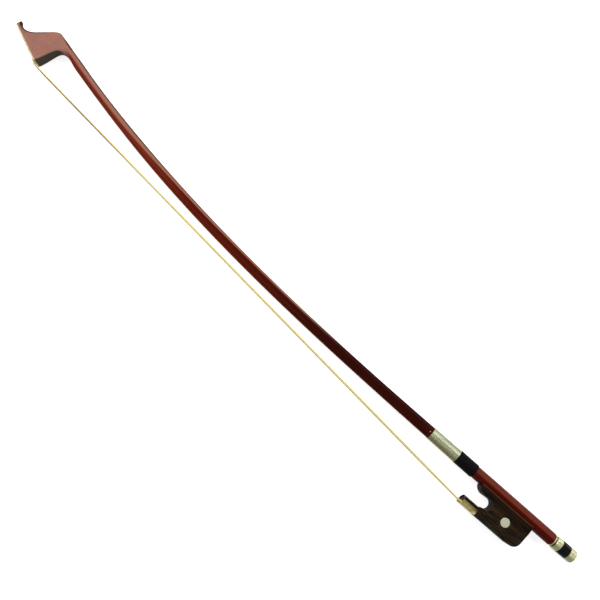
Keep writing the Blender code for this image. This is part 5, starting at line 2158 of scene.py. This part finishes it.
    @staticmethod
    def _normals(line: Sequence[tuple[float, float]]) -> list[Vector]:
        """Outward mitred normals of an outline.

        Args:
            line: The outline.

        Returns:
            One normal for each point.
        """
        normals = []
        count = len(line)
        for index in range(count):
            here = Vector(line[index])
            before = (here - Vector(line[index - 1])).normalized()
            after = (Vector(line[(index + 1) % count]) - here).normalized()
            first, second = Vector((-before.y, before.x)), Vector((-after.y, after.x))
            both = first + second
            normals.append(both / max(0.4, 1.0 + first.dot(second)))
        area = sum(line[i - 1][0] * line[i][1] - line[i][0] * line[i - 1][1] for i in range(count))
        return [-n for n in normals] if area > 0 else normals

    @staticmethod
    def _inside(point: Vector, ring: Sequence[Vector]) -> bool:
        """Whether a point lies inside a closed ring.

        Args:
            point: The point.
            ring: The ring.

        Returns:
            True inside it.
        """
        inside = False
        for index, here in enumerate(ring):
            back = ring[index - 1]
            if (here.y > point.y) != (back.y > point.y):
                cross = here.x + (point.y - here.y) * (back.x - here.x) / (back.y - here.y)
                if point.x < cross:
                    inside = not inside
        return inside

    def _eye(self, bench: Bench, name: str, sign: float) -> bpy.types.Object:
        """One pearl disc, slightly domed.

        Args:
            bench: Where meshes are made.
            name: Name of the piece.
            sign: Side of the frog.

        Returns:
            The disc.
        """
        rings = [[Vector((p.x, p.y, sign * height)) for p in self._circle(radius)]
                 for radius, height in self.eye_profile]
        return bench.skin(name, rings, 50.0)


@dataclass
class Button:
    """Adjusting screw and the ebony and silver button; its rows hold X and a corner radius."""

    turn: float = 15.2
    edge: float = 0.5
    cap_end: float = 21.6
    collar: tuple = (
        (-2.10, 5.2), (-2.08, 5.5), (-1.95, 5.68), (-1.75, 5.72), (-1.2, 5.72), (-0.95, 5.68),
        (-0.82, 5.5), (-0.78, 5.2), (0.02, 5.2), (0.08, 5.8), (0.2, 6.05), (0.4, 6.23),
        (0.7, 6.3), (1.4, 6.3), (1.5, 6.2), (1.65, 6.2), (1.75, 6.3), (5.35, 6.3),
        (5.6, 6.22), (5.7, 6.0),
    )
    groove: tuple = ((-0.85, 5.1), (-0.80, 5.26), (0.0, 5.26), (0.05, 5.1))
    core: tuple = ((5.6, 5.7), (5.72, 6.0), (5.95, 6.24), (10.0, 6.27), (14.0, 6.24),
                   (14.28, 6.0), (14.4, 5.7))
    cap: tuple = (
        (14.3, 6.0), (14.4, 6.22), (14.65, 6.3), (15.5, 6.3), (15.6, 6.2), (15.75, 6.2),
        (15.85, 6.3), (19.55, 6.3), (19.9, 6.25), (20.25, 6.05), (21.05, 5.15), (21.35, 4.7),
        (21.52, 4.3), (21.58, 3.4), (21.6, 1.6),
    )
    screw_radius: float = 1.8
    screw_front: float = -76.0
    screw_rear: float = -1.4
    thread_rear: float = -22.0
    pitch: float = 0.9
    thread_depth: float = 0.28
    lead: float = 0.55
    screw_sides: int = 14
    run_in: float = 1.5
    run_out: float = 2.0
    point: float = 0.8
    turn_steps: int = 6
    plain_step: float = 6.0
    plain_rear: float = -3.0

    def bar(self, bench: Bench, name: str, stations: Sequence[tuple[float, float]]) -> bpy.types.Object:
        """Skin an eight-sided turned bar.

        Args:
            bench: Where meshes are made.
            name: Name of the piece.
            stations: Places along X with their corner radii.

        Returns:
            The bar.
        """
        rings = []
        for x, radius in stations:
            corners = []
            for index in range(8):
                swing = math.radians(45.0 * index + self.turn)
                corners.append(Vector((x, radius * math.cos(swing), radius * math.sin(swing))))
            rings.append(soften(corners, [self.edge] * 8, 3, 0.15))
        return bench.skin(name, rings, 40.0)

    def build(self, bench: Bench, finishes: Finishes) -> None:
        """Make the parts of the button and the threaded screw.

        Args:
            bench: Where meshes are made.
            finishes: The materials.
        """
        silver, tarnish_and_shade, ebony = finishes.silver, finishes.tarnish_and_shade, finishes.button_ebony
        for name, rows, finish, slot, node in (
            ("button_silver_collar", self.collar, silver, "nickel_silver", "button_collar"),
            # The groove's dark metal is tarnish and painted shade.
            ("button_collar_groove", self.groove, tarnish_and_shade, "nickel_silver", "button_collar"),
            ("button_ebony_band", self.core, ebony, "ebony_button", "button_core"),
            ("button_silver_cap", self.cap, silver, "nickel_silver", "button_cap"),
        ):
            bench.dress(self.bar(bench, name, rows), finish, Body.SCREW, slot, node)
        screw = bench.skin("adjusting_screw_thread", self._thread(), 60.0)
        bench.dress(screw, finishes.steel, Body.SCREW, "steel", "adjusting_screw")

    def _thread(self) -> list[Ring]:
        """Sections of the screw, threaded where it passes the nut.

        Returns:
            The sections.
        """
        rings: list[Ring] = []
        front, rear, sides = self.screw_front, self.thread_rear, self.screw_sides
        x = front
        while x < self.plain_rear:
            threaded = smooth(front, front + self.run_in, x) * (1.0 - smooth(rear - self.run_out, rear, x))
            lead = self.lead * (1.0 - smooth(front, front + self.point, x))
            ring = []
            for step in range(sides):
                phase = (x / self.pitch - step / sides) % 1.0
                cut = self.thread_depth * threaded * (1.0 - abs(2.0 * phase - 1.0))
                out = self.screw_radius - cut - lead
                swing = math.tau * step / sides
                ring.append(Vector((x, out * math.cos(swing), out * math.sin(swing))))
            rings.append(ring)
            x += self.pitch / self.turn_steps if x < rear else self.plain_step
        rings.append([Vector((self.screw_rear, p.y, p.z)) for p in rings[-1]])
        return rings


class Fittings:
    """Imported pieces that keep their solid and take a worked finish."""

    def build(self, nodes: Mapping[str, bpy.types.Object], finishes: Finishes) -> None:
        """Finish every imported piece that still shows.

        Args:
            nodes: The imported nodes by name.
            finishes: The materials.
        """
        table = {
            "head_plug": finishes.maple, "head_hair_knot": finishes.thread,
            "lapping_wire_pin": finishes.wire, "ferrule_wedge": finishes.maple,
            "frog_hair_knot": finishes.thread, "frog_plug": finishes.maple,
            "underslide": finishes.brass, "underslide_pin_front": finishes.brass,
            "underslide_pin_rear": finishes.brass, "eyelet": finishes.brass,
            "button_pin_collar": finishes.silver, "button_pin_cap": finishes.silver,
        }
        for name, material in table.items():
            node = nodes[name]
            for slot in node.material_slots:
                slot.material = material
            LOG.info("%s keeps its solid, finished as %s", name, material.name)


@dataclass
class Studio:
    """White floor, soft lights and the camera."""

    eye: tuple = (-256.8313, -65.5443, 590.0)
    aim: tuple = (-306.8313, 12.4557, 0.0)
    roll: float = 41.1962
    lens: float = 39.163
    sensor: float = 36.0
    clip: tuple = (0.01, 50.0)
    floor_half: float = 4.0
    floor_height: float = -0.0002
    floor_glow: float = 0.80
    world_light: float = 0.18
    lamps: tuple = (
        ("head_softbox", (-0.85, 0.12, 0.95), (-0.25, 0.02, 0.0), 0.70, 0.45, 6.5),
        ("key_softbox", (-0.10, 0.62, 1.05), (0.0, 0.0, 0.0), 0.40, 0.30, 4.6),
        ("handle_softbox", (0.66, 0.85, 0.72), (0.28, 0.0, 0.0), 0.45, 0.35, 2.4),
    )

    def build(self, bench: Bench) -> None:
        """Set the camera, the floor, the lights and the world.

        Args:
            bench: For the drawing's place.
        """
        self._camera(bench)
        self._floor()
        self._world()
        for lamp in self.lamps:
            self._lamp(*lamp)
        LOG.info("studio ready")

    def _camera(self, bench: Bench) -> None:
        """Place the camera so that the bow runs down across the picture.

        Args:
            bench: For the drawing's place.
        """
        eye = bench.datum.place(Vector(self.eye))
        aim = bench.datum.place(Vector(self.aim))
        forward = (aim - eye).normalized()
        along = Vector((1.0, 0.0, 0.0))
        across = (along - forward * along.dot(forward)).normalized()
        over = (-forward).cross(across)
        swing = math.radians(self.roll)
        right = across * math.cos(swing) + over * math.sin(swing)
        up = over * math.cos(swing) - across * math.sin(swing)
        turn = Matrix((right, up, -forward)).transposed().to_4x4()
        data = bpy.data.cameras.new("studio_camera")
        data.lens = self.lens
        data.sensor_width = self.sensor
        data.clip_start, data.clip_end = self.clip
        camera = bpy.data.objects.new("studio_camera", data)
        camera.matrix_world = Matrix.Translation(eye) @ turn
        bpy.context.scene.collection.objects.link(camera)
        bpy.context.scene.camera = camera

    @staticmethod
    def _seen(tree: bpy.types.NodeTree) -> Tone:
        """1 for what the camera, a reflection or a view through glass sees.

        Args:
            tree: The node tree that asks.

        Returns:
            The share.
        """
        path = tree.nodes.new("ShaderNodeLightPath")
        seen = Tone(tree, path.outputs["Is Camera Ray"])
        for ray in ("Is Glossy Ray", "Is Transmission Ray"):
            seen = seen.apply("MAXIMUM", seen, Tone(tree, path.outputs[ray]))
        return seen

    def _floor(self) -> None:
        """A pale floor that shows white and keeps a soft shadow."""
        size, low = self.floor_half, self.floor_height
        mesh = bpy.data.meshes.new("studio_floor")
        corners = [(-size, -size, low), (size, -size, low), (size, size, low), (-size, size, low)]
        mesh.from_pydata(corners, [], [(0, 1, 2, 3)])
        floor = bpy.data.objects.new("studio_floor", mesh)
        bpy.context.scene.collection.objects.link(floor)
        recipe = Recipe("studio_floor")
        seen = self._seen(recipe.tree)
        recipe.finish(Base_Color=(0.30, 0.30, 0.30), Roughness=0.9, Specular_IOR_Level=0.0)
        matt = recipe.node("ShaderNodeBsdfDiffuse", None, {"Color": (0.85, 0.85, 0.85)})
        glow = recipe.node("ShaderNodeEmission", None, {
            "Color": (1.0, 1.0, 1.0), "Strength": self.floor_glow})
        both = recipe.node("ShaderNodeAddShader")
        for socket, shader in zip(both.inputs, (matt, glow)):
            recipe.feed(socket, shader.outputs[0])
        pick = recipe.node("ShaderNodeMixShader")
        for socket, value in zip(pick.inputs, (seen, recipe.shader.outputs[0], both.outputs[0])):
            recipe.feed(socket, value)
        out = recipe.tree.nodes["Material Output"]
        recipe.feed(out.inputs["Surface"], pick.outputs[0])
        mesh.materials.append(recipe.material)
        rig.stage(floor)

    def _world(self) -> None:
        """White where it is seen, soft grey as a light."""
        world = bpy.data.worlds.new("studio_world")
        world.use_nodes = True
        bpy.context.scene.world = world
        tree = world.node_tree
        background = tree.nodes["Background"]
        background.inputs["Color"].default_value = (1.0, 1.0, 1.0, 1.0)
        strength = self._seen(tree) * (1.0 - self.world_light) + self.world_light
        tree.links.new(strength.socket, background.inputs["Strength"])

    @staticmethod
    def _lamp(name: str, place: Sequence[float], aim: Sequence[float], width: float,
              height: float, power: float) -> None:
        """Hang one soft lamp.

        Args:
            name: Name of the lamp.
            place: Where it hangs.
            aim: Point that it faces.
            width: Width of its face.
            height: Height of its face.
            power: Power in watts.
        """
        data = bpy.data.lights.new(name, "AREA")
        data.shape = "RECTANGLE"
        data.size = width
        data.size_y = height
        data.energy = power
        lamp = bpy.data.objects.new(name, data)
        way = Vector(aim) - Vector(place)
        lamp.matrix_world = Matrix.Translation(place) @ way.to_track_quat("-Z", "Y").to_matrix().to_4x4()
        bpy.context.scene.collection.objects.link(lamp)


def note_size(before: object, after: object) -> None:
    """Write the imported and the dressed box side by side.

    Args:
        before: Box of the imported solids.
        after: Box of the dressed bow.
    """
    plain = [[list(corner) for corner in box] for box in (before, after)]
    with open("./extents.json", "w", encoding="utf-8") as sheet:
        json.dump({"cad": plain[0], "visual": plain[1]}, sheet)


def main() -> None:
    """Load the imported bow, dress every piece and light it."""
    logging.basicConfig(level=logging.INFO, format="%(name)s %(message)s")
    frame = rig.load()
    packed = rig.bounds()
    scene = bpy.context.scene
    scene.view_settings.view_transform = "Standard"
    button = Button()
    bench = Bench(Datum.from_frame(button.cap_end))
    finishes = Finishes(bench.datum.origin, button.turn)
    stick = Stick()
    head = Head()
    ferrule = Ferrule()
    Studio().build(bench)
    stick.build(bench, finishes, head)
    head.build(bench, finishes)
    Wrappings().build(bench, finishes, stick)
    Hair(head).build(bench, finishes)
    ferrule.build(bench, finishes)
    Frog(ferrule).build(bench, finishes)
    button.build(bench, finishes)
    Fittings().build(frame["nodes"], finishes)
    note_size(packed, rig.bounds())


if __name__ == "__main__":
    main()
